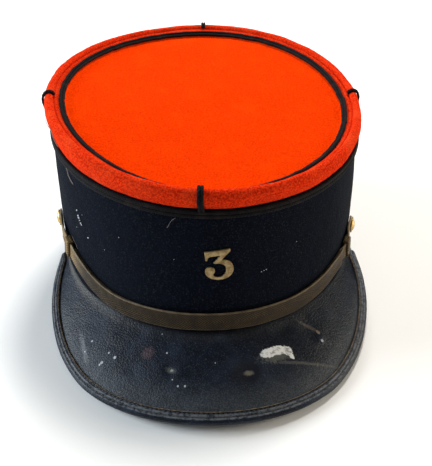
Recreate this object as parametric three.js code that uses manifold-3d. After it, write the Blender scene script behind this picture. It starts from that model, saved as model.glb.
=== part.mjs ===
// Kepi cap: a cloth band with a rolled red crown, a bound leather peak, a double chin strap of
// lace between two buttons, black braid trim and a metal numeral.
// Millimetres, +Z up. The peak faces -Y. Names say left and right as the cap is seen from its
// front, so left is -X, which is the wearer's right. The origin is on the table, under the middle
// of the cap's box. Angles round the head are in degrees: -90 is the front, 0 the +X side, 90 the
// rear.
import * as THREE from "three";
import { mergeVertices } from "three/addons/utils/BufferGeometryUtils.js";
import Module from "manifold-3d";

// ---- driving dimensions ----

const GAP = 0.3;
const STATIONS = 60;
const FRAME_STEP = 1e-3;
const HOLE_SIDES = 16;

// Ovals on the cap's outside. Each climbs evenly from zFront to zRear, and lean lowers its +X side
// and lifts its -X side by the same amount.
const RINGS = {
  base: { halfWidth: 83.4, halfLength: 100.5, x: -1.5, y: 22.7, zFront: 23.9, zRear: -0.5, lean: 0 },
  seam: { halfWidth: 83.3, halfLength: 90.8, x: -2.1, y: 22.1, zFront: 92.1, zRear: 94.8, lean: 3.0 },
  crest: { halfWidth: 84.2, halfLength: 92.9, x: -2.5, y: 23.1, zFront: 104.3, zRear: 107.1, lean: 4.5 },
};

// Slow waves of the crest's height: how often they go round, their height and where they peak.
const CREST_WAVES = [
  { count: 2, height: 1.2, peak: 27.5 },
  { count: 3, height: 0.56, peak: 62 },
];

// The red cloth above its seam with the band: out and up are measured from the crest ring. It
// rolls over the crest to a crease, and goes on inside the crease as a narrow ledge.
const CROWN_PROFILE = [
  { out: 1.5, up: -5.2 },
  { out: 1.5, up: -2.6 },
  { out: 0.6, up: -0.5 },
  { out: -0.9, up: 0.3 },
  { out: -2.4, up: -0.1 },
  { out: -3.6, up: -1.5 },
  { out: -4.7, up: -1.6 },
  { out: -7.0, up: -3.2 },
];

// At the front the cloth inside the roll sinks, by the most at -90 degrees.
const SINK = { depth: 2.6, startOut: -2.6, fullOut: -7, narrowness: 4 };

const BAND = { wall: 2.4, swell: 0.6, steps: 4 };
const CROWN = { wall: 1.6, steps: 10 };
const DISC = {
  thickness: 2,
  edgeOut: -7.3,
  edgeUp: -3.5,
  levelOut: -9.5,
  levelUp: -4.5,
  dish: 0.8,
  halfwayDish: 0.6,
};
const BRAID = { thickness: 1.1, groove: 0.4, shoulder: 0.7 };
const BAND_BRAID = { width: 4 };
const TOP_SOUTACHE = { outer: -5.9, inner: -8.5, lift: 0.4 };
// The slope inside the rim that the top soutache lies along.
const RIM_SLOPE = { outerOut: -4.6, outerUp: -1.4, innerOut: -8.5, innerUp: -4.15 };
// The upright soutaches end at the crease, at a share of the way over the crown's cloth.
const SOUTACHE = { start: 0.02, end: 0.7, stations: 12 };
const SOUTACHES = [
  { name: "soutache_front", angle: -90.6, width: 3.2 },
  { name: "soutache_rear", angle: 91.2, width: 2.6 },
  { name: "soutache_left", angle: 187, width: 2.2 },
  { name: "soutache_right", angle: 6, width: 2.2 },
];

// The peak reaches out level from the base ring, and slopes down to an edge that lies on the table
// at its front corners, arches between them and climbs to the band at its tips.
const PEAK = {
  middle: 0.9,
  halfSpan: 84,
  reach: 44.4,
  bluntness: 2.5,
  shift: 1.6,
  thickness: 2,
  camber: 1.6,
  edgeHeight: 1.62,
  levelShare: 0.55,
  tipRise: 1.35,
  stations: 46,
};
// The peak at each share of its half span: how deep it is before its ends are rounded off, and how
// far its edge arches up. It stands on its two front corners.
const PEAK_OUTLINE = [
  { share: -0.22, depth: 43, arch: 1.5 },
  { share: 0, depth: 44.4, arch: 3.2 },
  { share: 0.22, depth: 43, arch: 1.5 },
  { share: 0.35, depth: 40.2, arch: 0.25 },
  { share: 0.45, depth: 35.6, arch: 0 },
  { share: 0.6, depth: 27.8, arch: 0 },
  { share: 0.7, depth: 22.9, arch: 0 },
  { share: 0.8, depth: 17.6, arch: 0 },
  { share: 0.9, depth: 11.6, arch: 0 },
  { share: 1, depth: 6, arch: 0 },
];
const BINDING = {
  width: 5,
  wall: 0.8,
  nose: 0.7,
  noseFlat: 0.4,
  tipReach: 3.4,
  rootClearance: 1.2,
  stations: 44,
  endStep: 0.002,
};

// The two lengths of the chin strap. rise is the height of the lace's middle over the base ring,
// and lift is how far its back stands off the band.
const LACE = { width: 10.2, thickness: 1, stations: 54, endHole: 1.9, slopeStep: 0.2 };
const LACE_END_TURNS = [80, 60, 40, 20];
const OUTER_STRAP = [
  { angle: -166.5, rise: 25, lift: 0.3 },
  { angle: -162, rise: 25.2, lift: 0.8 },
  { angle: -157, rise: 24.6, lift: 1.6 },
  { angle: -151, rise: 22, lift: 1.6 },
  { angle: -145, rise: 18.2, lift: 1.6 },
  { angle: -139, rise: 14.6, lift: 1.6 },
  { angle: -132, rise: 10.8, lift: 1.6 },
  { angle: -126, rise: 8.6, lift: 1.6 },
  { angle: -118, rise: 7.3, lift: 1.6 },
  { angle: -90, rise: 6.9, lift: 1.6 },
  { angle: -60, rise: 7.1, lift: 1.6 },
  { angle: -50, rise: 8.4, lift: 1.6 },
  { angle: -45, rise: 9.6, lift: 1.6 },
  { angle: -38, rise: 11.9, lift: 1.6 },
  { angle: -29.5, rise: 14.6, lift: 1.6 },
];
const INNER_STRAP = [
  { angle: -14.5, rise: 20.9, lift: 0.3 },
  { angle: -18.5, rise: 19.4, lift: 0.3 },
  { angle: -22.4, rise: 17.3, lift: 1.6 },
  { angle: -26.5, rise: 15, lift: 1.6 },
  { angle: -29.2, rise: 13.6, lift: 0.3 },
  { angle: -38, rise: 10.9, lift: 0.3 },
  { angle: -45, rise: 8.6, lift: 0.3 },
  { angle: -50, rise: 7.4, lift: 0.3 },
  { angle: -60, rise: 6.1, lift: 0.3 },
  { angle: -90, rise: 5.9, lift: 0.3 },
  { angle: -118, rise: 6.3, lift: 0.3 },
  { angle: -126, rise: 7.6, lift: 0.3 },
  { angle: -132, rise: 9.8, lift: 0.3 },
  { angle: -139, rise: 13.6, lift: 0.3 },
  { angle: -146.5, rise: 18.2, lift: 0.3 },
];
const SLIDE = { length: 5, wall: 1, lift: 0.3, clearance: 0.3 };
const SLIDES = [
  { name: "strap_slide_left", route: OUTER_STRAP, angle: -150 },
  { name: "strap_slide_right", route: INNER_STRAP, angle: -24.5 },
];
const BUTTON = { radius: 4.6, dome: 1.6, rim: 0.6, shank: 1.4, segments: 20 };
// The button's outline above its back, as shares of its radius and of its dome's height.
const BUTTON_BACK = 0.85;
const BUTTON_RIM = 0.95;
const BUTTON_DOME = [
  { radius: 0.7, height: 0.6 },
  { radius: 0.35, height: 0.92 },
];
const BUTTONS = [
  { name: "button_left", route: OUTER_STRAP },
  { name: "button_right", route: INNER_STRAP },
];
const NUMERAL = { angle: -85.2, along: 0.583, thickness: 1, bevel: 0.25 };

// ---- finishes ----

const FINISHES = {
  redCloth: { color: 0xd93a10, roughness: 0.95, metalness: 0 },
  navyCloth: { color: 0x171b26, roughness: 0.95, metalness: 0 },
  blackBraid: { color: 0x16151a, roughness: 0.8, metalness: 0 },
  blackLeather: { color: 0x2b323b, roughness: 0.45, metalness: 0 },
  giltLace: { color: 0x7a6238, roughness: 0.7, metalness: 0.2 },
  brass: { color: 0xa08a50, roughness: 0.4, metalness: 1 },
};

// ---- geometry helpers ----

const wasm = await Module();
wasm.setup();

const radians = THREE.MathUtils.degToRad;
const at = (x, y) => new THREE.Vector2(x, y);

// Signed volume of an indexed mesh, positive when its faces point out.
function signedVolume(positions, index) {
  const corner = (i) => new THREE.Vector3().fromArray(positions, 3 * index[i]);
  let volume = 0;
  for (let i = 0; i < index.length; i += 3) {
    volume += corner(i).dot(corner(i + 1).cross(corner(i + 2))) / 6;
  }
  return volume;
}

// A geometry whose faces are turned outwards.
function facingOut(positions, index) {
  const turned = signedVolume(positions, index) < 0 ? index.slice().reverse() : index;
  const geometry = new THREE.BufferGeometry();
  geometry.setAttribute("position", new THREE.Float32BufferAttribute(positions, 3));
  geometry.setIndex(turned);
  return geometry;
}

// A solid swept through placements of one outline, each a function from the outline's x, y to a
// point in space. A closed sweep joins its end to its start, and an open one is capped.
function sweep(path, placements, closed) {
  const outline = THREE.ShapeUtils.isClockWise(path) ? path.toReversed() : path;
  const positions = [];
  for (const place of placements) {
    for (const corner of outline) positions.push(...place(corner.x, corner.y).toArray());
  }
  const index = [];
  const corners = outline.length;
  const spans = closed ? placements.length : placements.length - 1;
  for (let span = 0; span < spans; span += 1) {
    const near = span * corners;
    const far = ((span + 1) % placements.length) * corners;
    for (let corner = 0; corner < corners; corner += 1) {
      const next = (corner + 1) % corners;
      index.push(near + corner, near + next, far + next, near + corner, far + next, far + corner);
    }
  }
  if (!closed) {
    const last = (placements.length - 1) * corners;
    for (const triangle of THREE.ShapeUtils.triangulateShape(outline, [])) {
      const [a, b, c] = triangle;
      index.push(c, b, a, last + a, last + b, last + c);
    }
  }
  return facingOut(positions, index);
}

// A finished three.js solid moved point by point, with its shared corners merged.
function bent(geometry, move) {
  const position = geometry.getAttribute("position");
  const point = new THREE.Vector3();
  for (let i = 0; i < position.count; i += 1) {
    point.fromBufferAttribute(position, i);
    position.setXYZ(i, ...move(point.clone()).toArray());
  }
  geometry.deleteAttribute("normal");
  geometry.deleteAttribute("uv");
  const merged = mergeVertices(geometry, 1e-3);
  return facingOut(Array.from(merged.getAttribute("position").array), Array.from(merged.index.array));
}

function toManifold(geometry) {
  const bare = geometry.clone();
  bare.deleteAttribute("normal");
  bare.deleteAttribute("uv");
  const merged = mergeVertices(bare, 1e-3);
  return new wasm.Manifold(
    new wasm.Mesh({
      numProp: 3,
      vertProperties: merged.getAttribute("position").array,
      triVerts: new Uint32Array(merged.index.array),
    }),
  );
}

// The first solid with the second cut away.
function cut(geometry, tool) {
  const mesh = toManifold(geometry).subtract(toManifold(tool)).getMesh();
  return facingOut(Array.from(mesh.vertProperties), Array.from(mesh.triVerts));
}

// ---- tables read as smooth curves ----

// The rows of a sorted table on each side of a place, and the share of the way between them.
function rowsAround(rows, column, place) {
  const above = rows.findIndex((row) => row[column] > place);
  const next = above < 0 ? rows.length - 1 : Math.max(above, 1);
  const low = rows[next - 1];
  const high = rows[next];
  const share = THREE.MathUtils.clamp((place - low[column]) / (high[column] - low[column]), 0, 1);
  return { before: rows[next - 2] ?? low, low, high, after: rows[next + 1] ?? high, share };
}

// One column's value where another has a given one, on a smooth curve through the rows.
function smoothThrough(rows, column, value, place) {
  const { before, low, high, after, share } = rowsAround(rows, column, place);
  const span = high[column] - low[column];
  const slopeIn = (high[value] - before[value]) / (high[column] - before[column]);
  const slopeOut = (after[value] - low[value]) / (after[column] - low[column]);
  return (
    low[value] * (1 + 2 * share) * (1 - share) ** 2 +
    high[value] * share ** 2 * (3 - 2 * share) +
    slopeIn * span * share * (1 - share) ** 2 -
    slopeOut * span * share ** 2 * (1 - share)
  );
}

// ---- the cap's surfaces ----

// Cloth and leather are pressed flat where they meet the table, at z = 0.
function onTheTable(point) {
  point.z = Math.max(point.z, 0);
  return point;
}

// A point of a ring, moved out from its oval and up.
function ringPoint(ring, angle, out = 0, up = 0) {
  const across = Math.cos(radians(angle));
  const along = Math.sin(radians(angle));
  const height = THREE.MathUtils.lerp(ring.zFront, ring.zRear, (along + 1) / 2) - ring.lean * across;
  return onTheTable(
    new THREE.Vector3(
      ring.x + (ring.halfWidth + out) * across,
      ring.y + (ring.halfLength + out) * along,
      height + up,
    ),
  );
}

function crestPoint(angle, out, up) {
  const inside = THREE.MathUtils.clamp(
    THREE.MathUtils.mapLinear(out, SINK.startOut, SINK.fullOut, 0, 1),
    0,
    1,
  );
  const frontness = Math.max(-Math.sin(radians(angle)), 0) ** SINK.narrowness;
  let wave = -SINK.depth * inside * frontness;
  for (const { count, height, peak } of CREST_WAVES) {
    wave += height * Math.cos(count * radians(angle - peak));
  }
  return ringPoint(RINGS.crest, angle, out, up + wave);
}

// The band's outside: along runs from 0 at its lower edge to 1 at the seam.
function bandSurface(angle, along) {
  const swell = BAND.swell * Math.sin(Math.PI * THREE.MathUtils.clamp(along, 0, 1));
  const low = ringPoint(RINGS.base, angle, swell);
  return low.lerp(ringPoint(RINGS.seam, angle, swell), along);
}

const bandHeightAt = (angle) => bandSurface(angle, 0).distanceTo(bandSurface(angle, 1));

// The red crown's outside: along runs from 0 at the seam, over the crest, to 1 inside the rim.
function crownSurface(angle, along) {
  const points = CROWN_PROFILE.map(({ out, up }) => crestPoint(angle, out, up));
  points.unshift(ringPoint(RINGS.seam, angle, 0, GAP));
  return new THREE.CatmullRomCurve3(points, false, "centripetal").getPoint(along);
}

// The frame of a surface at a point: its outward normal, and its ways round and up.
function surfaceFrame(surface, angle, along) {
  const step = FRAME_STEP;
  const point = surface(angle, along);
  const round = surface(angle + step, along).sub(surface(angle - step, along)).normalize();
  const above = surface(angle, Math.min(along + step, 1));
  const up = above.sub(surface(angle, Math.max(along - step, 0))).normalize();
  const normal = round.clone().cross(up).normalize();
  return { point, round, up, normal };
}

// Placements round the whole head of an outline whose x is the lift off a surface and y is along it.
function roundTheHead(surface, stations = STATIONS) {
  return Array.from({ length: stations }, (_, station) => {
    const angle = (360 * station) / stations;
    return (lift, along) => {
      const { point, normal } = surfaceFrame(surface, angle, along);
      return onTheTable(point.addScaledVector(normal, lift));
    };
  });
}

// A wall's outline between two places along a surface, behind it by its thickness.
function wallOutline(thickness, steps) {
  const outside = steps.map((along) => at(0, along));
  const inside = steps.toReversed().map((along) => at(-thickness, along));
  return [...outside, ...inside];
}

// Even steps from one value to another, both ends included.
const evenSteps = (count, from = 0, to = 1) =>
  Array.from({ length: count + 1 }, (_, i) => THREE.MathUtils.lerp(from, to, i / count));

// A flat braid's outline with a groove along its middle: x is its lift, y runs across it.
function braidOutline(low, high, lift = GAP) {
  const { thickness, groove, shoulder } = BRAID;
  const middle = (low + high) / 2;
  const quarter = (high - low) / 4;
  return [
    at(lift, low),
    at(lift + thickness * shoulder, low),
    at(lift + thickness, middle - quarter),
    at(lift + thickness - groove, middle),
    at(lift + thickness, middle + quarter),
    at(lift + thickness * shoulder, high),
    at(lift, high),
  ];
}

// ---- crown and band ----

function makeBand() {
  return sweep(wallOutline(BAND.wall, evenSteps(BAND.steps)), roundTheHead(bandSurface), true);
}

function makeCrownSide() {
  return sweep(wallOutline(CROWN.wall, evenSteps(CROWN.steps)), roundTheHead(crownSurface), true);
}

// The disc is a lathe solid of radius 1, set into the crest ring's oval.
function makeCrownTop() {
  const { thickness, edgeOut, edgeUp, levelOut, levelUp, dish, halfwayDish } = DISC;
  const level = (RINGS.crest.halfWidth + levelOut) / (RINGS.crest.halfWidth + edgeOut);
  const top = [
    at(0, levelUp - dish),
    at(level / 2, levelUp - dish * halfwayDish),
    at(level, levelUp),
    at(1, edgeUp),
  ];
  const underside = top.toReversed().map((point) => at(point.x, point.y - thickness));
  const lathe = new THREE.LatheGeometry([...top, ...underside], STATIONS);
  const { x, y, zFront, zRear } = RINGS.crest;
  const middle = new THREE.Vector3(x, y, (zFront + zRear) / 2);
  return bent(lathe, (point) => {
    const angle = THREE.MathUtils.radToDeg(Math.atan2(point.z, point.x));
    const spoke = middle.clone().lerp(crestPoint(angle, edgeOut, 0), Math.hypot(point.x, point.z));
    spoke.z += point.y;
    return spoke;
  });
}

function makeBandBraid() {
  const outline = braidOutline(1 - BAND_BRAID.width / bandHeightAt(-90), 1);
  return sweep(outline, roundTheHead(bandSurface), true);
}

// The ring over the seam of the disc: its outline runs down the slope inside the rim.
function makeTopSoutache() {
  const { outer, inner, lift: standOff } = TOP_SOUTACHE;
  const { outerOut, outerUp, innerOut, innerUp } = RIM_SLOPE;
  const slopeUp = (out) => THREE.MathUtils.mapLinear(out, outerOut, innerOut, outerUp, innerUp);
  const slope = at(inner - outer, slopeUp(inner) - slopeUp(outer)).normalize();
  const outline = braidOutline(outer, inner, standOff);
  const placements = evenSteps(STATIONS - 1, 0, 360 - 360 / STATIONS).map((angle) => (lift, out) =>
    crestPoint(angle, out + lift * slope.y, slopeUp(out) - lift * slope.x),
  );
  return sweep(outline, placements, true);
}

// An upright strip of braid from the seam over the crest, to the crease inside the roll.
function makeSoutache(angle, width) {
  const { start, end, stations } = SOUTACHE;
  const placements = evenSteps(stations, start, end).map((along) => (lift, across) => {
    const { point, round, normal } = surfaceFrame(crownSurface, angle, along);
    return point.addScaledVector(normal, lift).addScaledVector(round, across);
  });
  return sweep(braidOutline(-width / 2, width / 2), placements, false);
}

// ---- peak ----

// One section of the peak at a share of its half span, from -1 at one tip to 1 at the other.
function peakSection(share) {
  const angle = -90 + PEAK.middle + share * PEAK.halfSpan;
  const root = ringPoint(RINGS.base, angle);
  const outward = new THREE.Vector3(
    Math.cos(radians(angle)) / RINGS.base.halfWidth,
    Math.sin(radians(angle)) / RINGS.base.halfLength,
    0,
  ).normalize();
  const size = Math.abs(share);
  const blunt = Math.sqrt(Math.max(1 - size ** PEAK.bluntness, 0));
  const depth = smoothThrough(PEAK_OUTLINE, "share", "depth", size);
  const reach = blunt * (depth + PEAK.shift * outward.x);
  const rootZ = root.z - GAP;
  const climb = Math.max(size - PEAK.levelShare, 0) / (1 - PEAK.levelShare);
  const tipZ = rootZ - PEAK.thickness / 2;
  const lowZ = PEAK.edgeHeight + smoothThrough(PEAK_OUTLINE, "share", "arch", size);
  const edgeZ = THREE.MathUtils.lerp(lowZ, tipZ, climb ** PEAK.tipRise);
  const drop = Math.max(tipZ - edgeZ, 0);
  const camber = PEAK.camber * (reach / PEAK.reach) ** 2;
  return { root, outward, reach, rootZ, drop, camber };
}

// A point of a peak section: across runs from 0 at the band to 1 at the edge, or below 0 in
// millimetres under the band, and depth is below the upper face.
function peakPoint(section, across, depth) {
  const { root, outward, reach, rootZ, drop, camber } = section;
  const distance = across < 0 ? across : across * reach;
  const share = Math.max(across, 0);
  const slope = across <= 0 ? 0 : (drop - 4 * camber * (1 - 2 * share)) / Math.max(reach, 1);
  const steepness = Math.hypot(1, slope);
  const z = rootZ - drop * share + 4 * camber * share * (1 - share);
  const point = root.clone().addScaledVector(outward, distance - (depth * slope) / steepness);
  point.z = z - depth / steepness;
  return onTheTable(point);
}

function makePeak() {
  const across = [-BAND.wall, 0, 0.25, 0.5, 0.75, 1];
  const outline = [
    ...across.map((x) => at(x, 0)),
    ...across.toReversed().map((x) => at(x, PEAK.thickness)),
  ];
  const placements = evenSteps(PEAK.stations, -1, 1).map((share) => {
    const section = peakSection(share);
    return (x, depth) => peakPoint(section, x, depth);
  });
  return sweep(outline, placements, false);
}

// The binding is a U of leather round the peak's edge.
function makePeakBinding() {
  const { width, wall, nose, noseFlat, tipReach, rootClearance, stations, endStep } = BINDING;
  const half = PEAK.thickness / 2 + GAP;
  const outline = [
    at(-1, half),
    at(GAP, half),
    at(GAP, -half),
    at(-1, -half),
    at(-1, -half - wall),
    at(GAP, -half - wall),
    at(GAP + nose, -half - wall * noseFlat),
    at(GAP + nose, half - wall * noseFlat),
    at(GAP, half + wall),
    at(-1, half + wall),
  ];
  let end = 1;
  while (Math.min(peakSection(end).reach, peakSection(-end).reach) < tipReach) end -= endStep;
  const placements = evenSteps(stations, -end, end).map((share) => {
    const section = peakSection(share);
    const edge = peakPoint(section, 1, 0).add(peakPoint(section, 1, PEAK.thickness)).multiplyScalar(0.5);
    const normal = peakPoint(section, 1, 0).sub(peakPoint(section, 1, PEAK.thickness)).normalize();
    const outward = section.outward.clone().addScaledVector(normal, -section.outward.dot(normal));
    outward.normalize();
    const flange = Math.min(width, section.reach - rootClearance);
    return (x, y) => {
      const reachIn = x < 0 ? x * flange : x;
      return onTheTable(edge.clone().addScaledVector(outward, reachIn).addScaledVector(normal, y));
    };
  });
  return sweep(outline, placements, false);
}

// ---- chin strap ----

// A strap's rise and lift at an angle, eased from row to row of its route.
function routeAt(route, angle) {
  const rows = route.toSorted((a, b) => a.angle - b.angle);
  const { low, high, share } = rowsAround(rows, "angle", angle);
  const lift = THREE.MathUtils.lerp(low.lift, high.lift, THREE.MathUtils.smoothstep(share, 0, 1));
  return { rise: smoothThrough(rows, "angle", "rise", angle), lift };
}

const onRoute = (route, angle) =>
  bandSurface(angle, routeAt(route, angle).rise / bandHeightAt(angle));

// The lace's frame at an angle of its route: the way along it, across it and off the band.
function laceFrame(route, angle) {
  const { rise, lift } = routeAt(route, angle);
  const { point, normal } = surfaceFrame(bandSurface, angle, rise / bandHeightAt(angle));
  const forward = onRoute(route, angle + LACE.slopeStep).sub(onRoute(route, angle - LACE.slopeStep));
  forward.addScaledVector(normal, -forward.dot(normal)).normalize();
  const across = normal.clone().cross(forward).normalize();
  return { point, normal, forward, across, lift };
}

// A cylinder through the lace, about the middle of one of its ends.
function endHole(route) {
  const { point, normal, lift } = laceFrame(route, route[0].angle);
  const length = 8 * LACE.thickness;
  const tool = new THREE.CylinderGeometry(LACE.endHole, LACE.endHole, length, HOLE_SIDES);
  tool.applyQuaternion(new THREE.Quaternion().setFromUnitVectors(new THREE.Vector3(0, 1, 0), normal));
  tool.translate(...point.addScaledVector(normal, lift).toArray());
  return tool;
}

// A length of lace along its route, past its first row by half its width and rounded there.
function makeStrap(route) {
  const first = laceFrame(route, route[0].angle);
  const side = Math.sign(route.at(-1).angle - route[0].angle);
  const half = LACE.width / 2;
  const placeAt = ({ point, normal, forward, across, lift }, overhang, halfWidth) => (x, y) =>
    point
      .clone()
      .addScaledVector(forward, overhang)
      .addScaledVector(across, y * halfWidth)
      .addScaledVector(normal, lift + x);
  const roundEnd = LACE_END_TURNS.map((turn) =>
    placeAt(first, -side * half * Math.sin(radians(turn)), half * Math.cos(radians(turn))),
  );
  const run = evenSteps(LACE.stations, route[0].angle, route.at(-1).angle).map((angle) =>
    placeAt(laceFrame(route, angle), 0, half),
  );
  const outline = [at(0, -1), at(LACE.thickness, -1), at(LACE.thickness, 1), at(0, 1)];
  return cut(sweep(outline, [...roundEnd, ...run], false), endHole(route));
}

// A loop of lace round one length of the strap, swept along a short way of its route.
function makeSlide({ route, angle }) {
  const { wall, lift, length, clearance } = SLIDE;
  const frame = laceFrame(route, angle);
  const high = LACE.width / 2 + clearance;
  const deep = frame.lift + LACE.thickness + GAP;
  const inner = [at(lift + wall, -high), at(deep, -high), at(deep, high), at(lift + wall, high)];
  const outer = [
    at(lift, -high - wall),
    at(deep + wall, -high - wall),
    at(deep + wall, high + wall),
    at(lift, high + wall),
  ];
  const ends = [-length / 2, length / 2];
  const loops = [...ends.map((end) => [outer, end]), ...ends.toReversed().map((end) => [inner, end])];
  const positions = [];
  for (const [outline, end] of loops) {
    for (const corner of outline) {
      const point = frame.point.clone().addScaledVector(frame.forward, end);
      point.addScaledVector(frame.across, corner.y).addScaledVector(frame.normal, corner.x);
      positions.push(...point.toArray());
    }
  }
  const index = [];
  loops.forEach((_, loop) => {
    for (let corner = 0; corner < 4; corner += 1) {
      const near = loop * 4;
      const far = ((loop + 1) % loops.length) * 4;
      const next = (corner + 1) % 4;
      index.push(near + corner, near + next, far + next, near + corner, far + next, far + corner);
    }
  });
  return facingOut(positions, index);
}

// A domed button on the strap's end, with a shank down to the band.
function makeButton(route) {
  const { point, normal, lift } = laceFrame(route, route[0].angle);
  const { radius, dome, rim, shank, segments } = BUTTON;
  const back = lift + LACE.thickness + GAP;
  const profile = [
    at(0, GAP),
    at(shank, GAP),
    at(shank, back),
    at(radius * BUTTON_BACK, back),
    at(radius, back + rim / 2),
    at(radius * BUTTON_RIM, back + rim),
    ...BUTTON_DOME.map((row) => at(radius * row.radius, back + rim + dome * row.height)),
    at(0, back + rim + dome),
  ];
  const turn = new THREE.Quaternion().setFromUnitVectors(new THREE.Vector3(0, 1, 0), normal);
  return bent(new THREE.LatheGeometry(profile, segments), (p) => p.applyQuaternion(turn).add(point));
}

// ---- numeral ----

// A plain flat-topped figure three, in millimetres about its middle.
function numeralShape() {
  const shape = new THREE.Shape();
  shape.moveTo(-7, 6.9);
  shape.lineTo(5.3, 8.5);
  shape.lineTo(5.6, 7.2);
  shape.lineTo(1.3, 2.6);
  shape.bezierCurveTo(4.6, 2.8, 7.1, 0.4, 7.1, -2.8);
  shape.bezierCurveTo(7.1, -6.3, 3.9, -8.6, 0, -8.6);
  shape.bezierCurveTo(-3.7, -8.6, -6.7, -6.9, -6.7, -4.1);
  shape.bezierCurveTo(-6.7, -2.5, -5.6, -1.4, -4.2, -1.4);
  shape.bezierCurveTo(-2.8, -1.4, -1.9, -2.4, -1.9, -3.6);
  shape.bezierCurveTo(-1.9, -4.9, -2.9, -5.2, -2.7, -6);
  shape.bezierCurveTo(-2.4, -6.7, -1.4, -6.9, -0.4, -6.9);
  shape.bezierCurveTo(1.9, -6.9, 3.4, -5.2, 3.4, -2.9);
  shape.bezierCurveTo(3.4, -0.6, 1.6, 0.9, -1.6, 0.4);
  shape.lineTo(-2.8, 0.9);
  shape.lineTo(0.6, 4.9);
  shape.lineTo(-4, 4.3);
  shape.bezierCurveTo(-5.1, 4.1, -5.3, 3.1, -5.6, 2);
  shape.lineTo(-6.4, 2.1);
  return shape;
}

function makeNumeral() {
  const { angle, along, thickness, bevel } = NUMERAL;
  const extrude = new THREE.ExtrudeGeometry(numeralShape(), {
    depth: thickness - bevel,
    curveSegments: 5,
    bevelThickness: bevel,
    bevelSize: bevel,
    bevelOffset: -bevel,
    bevelSegments: 1,
  });
  const perDegree = bandSurface(angle - 0.5, along).distanceTo(bandSurface(angle + 0.5, along));
  const height = bandHeightAt(angle);
  return bent(extrude, (p) => {
    const { point, normal } = surfaceFrame(bandSurface, angle + p.x / perDegree, along + p.y / height);
    return point.addScaledVector(normal, GAP + bevel + p.z);
  });
}

// ---- the cap ----

const cap = new THREE.Group();

function add(name, geometry, finish) {
  geometry.computeVertexNormals();
  const mesh = new THREE.Mesh(geometry, new THREE.MeshStandardMaterial(FINISHES[finish]));
  mesh.name = name;
  cap.add(mesh);
}

add("band", makeBand(), "navyCloth");
add("crown_side", makeCrownSide(), "redCloth");
add("crown_top", makeCrownTop(), "redCloth");
add("band_braid", makeBandBraid(), "blackBraid");
add("top_soutache", makeTopSoutache(), "blackBraid");
for (const { name, angle, width } of SOUTACHES) add(name, makeSoutache(angle, width), "blackBraid");
add("peak", makePeak(), "blackLeather");
add("peak_binding", makePeakBinding(), "blackLeather");
add("chin_strap_outer", makeStrap(OUTER_STRAP), "giltLace");
add("chin_strap_inner", makeStrap(INNER_STRAP), "giltLace");
for (const slide of SLIDES) add(slide.name, makeSlide(slide), "giltLace");
for (const { name, route } of BUTTONS) add(name, makeButton(route), "brass");
add("numeral", makeNumeral(), "brass");

export default cap;
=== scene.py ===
# Kepi cap: the finished look of every piece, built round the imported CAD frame.
#
# Tables are in millimetres and degrees, and every mesh is made in metres. The peak faces -Y. Angles
# round the head start at +X: -90 is the front, 0 the +X side, 90 the rear.
import math

import bmesh
import bpy
import numpy as np
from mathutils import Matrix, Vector


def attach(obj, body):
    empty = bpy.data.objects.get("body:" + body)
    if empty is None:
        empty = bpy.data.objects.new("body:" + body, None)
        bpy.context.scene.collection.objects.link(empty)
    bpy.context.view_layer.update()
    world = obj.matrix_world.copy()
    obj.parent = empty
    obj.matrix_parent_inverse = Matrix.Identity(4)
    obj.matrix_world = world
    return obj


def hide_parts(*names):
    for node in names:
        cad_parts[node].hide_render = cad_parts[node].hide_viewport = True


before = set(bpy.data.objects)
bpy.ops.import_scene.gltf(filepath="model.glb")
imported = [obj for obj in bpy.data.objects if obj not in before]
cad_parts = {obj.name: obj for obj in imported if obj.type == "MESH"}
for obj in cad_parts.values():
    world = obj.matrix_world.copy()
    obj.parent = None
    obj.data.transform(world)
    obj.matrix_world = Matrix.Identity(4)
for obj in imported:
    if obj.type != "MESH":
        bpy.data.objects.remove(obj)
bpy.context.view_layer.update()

MM = 0.001
GAP = 0.3

# ---- the cap's shape: the same rings, profiles and routes as the CAD part ----

BASE = {"half_width": 83.4, "half_length": 100.5, "x": -1.5, "y": 22.7, "z_front": 23.9, "z_rear": -0.5, "lean": 0.0}
SEAM = {"half_width": 83.3, "half_length": 90.8, "x": -2.1, "y": 22.1, "z_front": 92.1, "z_rear": 94.8, "lean": 3.0}
CREST = {"half_width": 84.2, "half_length": 92.9, "x": -2.5, "y": 23.1, "z_front": 104.3, "z_rear": 107.1, "lean": 4.5}
CREST_WAVES = [
    {"count": 2, "height": 1.2, "peak": 27.5},
    {"count": 3, "height": 0.56, "peak": 62},
]
CROWN_PROFILE = [
    {"out": 1.5, "up": -5.2},
    {"out": 1.5, "up": -2.6},
    {"out": 0.6, "up": -0.5},
    {"out": -0.9, "up": 0.3},
    {"out": -2.4, "up": -0.1},
    {"out": -3.6, "up": -1.5},
    {"out": -4.7, "up": -1.6},
    {"out": -7.0, "up": -3.2},
]
SINK = {"depth": 2.6, "start_out": -2.6, "full_out": -7.0, "narrowness": 4}
BAND = {"wall": 2.4, "swell": 0.6, "height": 78.0}
CROWN = {"wall": 1.6, "length": 21.0}
DISC = {"thickness": 2.0, "edge_out": -7.3, "edge_up": -3.5, "level_out": -9.5, "level_up": -4.5, "dish": 0.8}
BAND_BRAID = {"width": 4.0, "thickness": 1.1, "height": 68.0}
TOP_SOUTACHE = {"outer": -5.9, "inner": -8.5, "thickness": 1.1, "lift": 0.4}
RIM_SLOPE = {"outer_out": -4.6, "outer_up": -1.4, "inner_out": -8.5, "inner_up": -4.15}
SOUTACHE = {"thickness": 1.1, "end": 0.71}
SOUTACHES = [
    {"name": "soutache_front", "angle": -90.6, "width": 3.2},
    {"name": "soutache_rear", "angle": 91.2, "width": 2.6},
    {"name": "soutache_left", "angle": 187.0, "width": 2.2},
    {"name": "soutache_right", "angle": 6.0, "width": 2.2},
]
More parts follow.
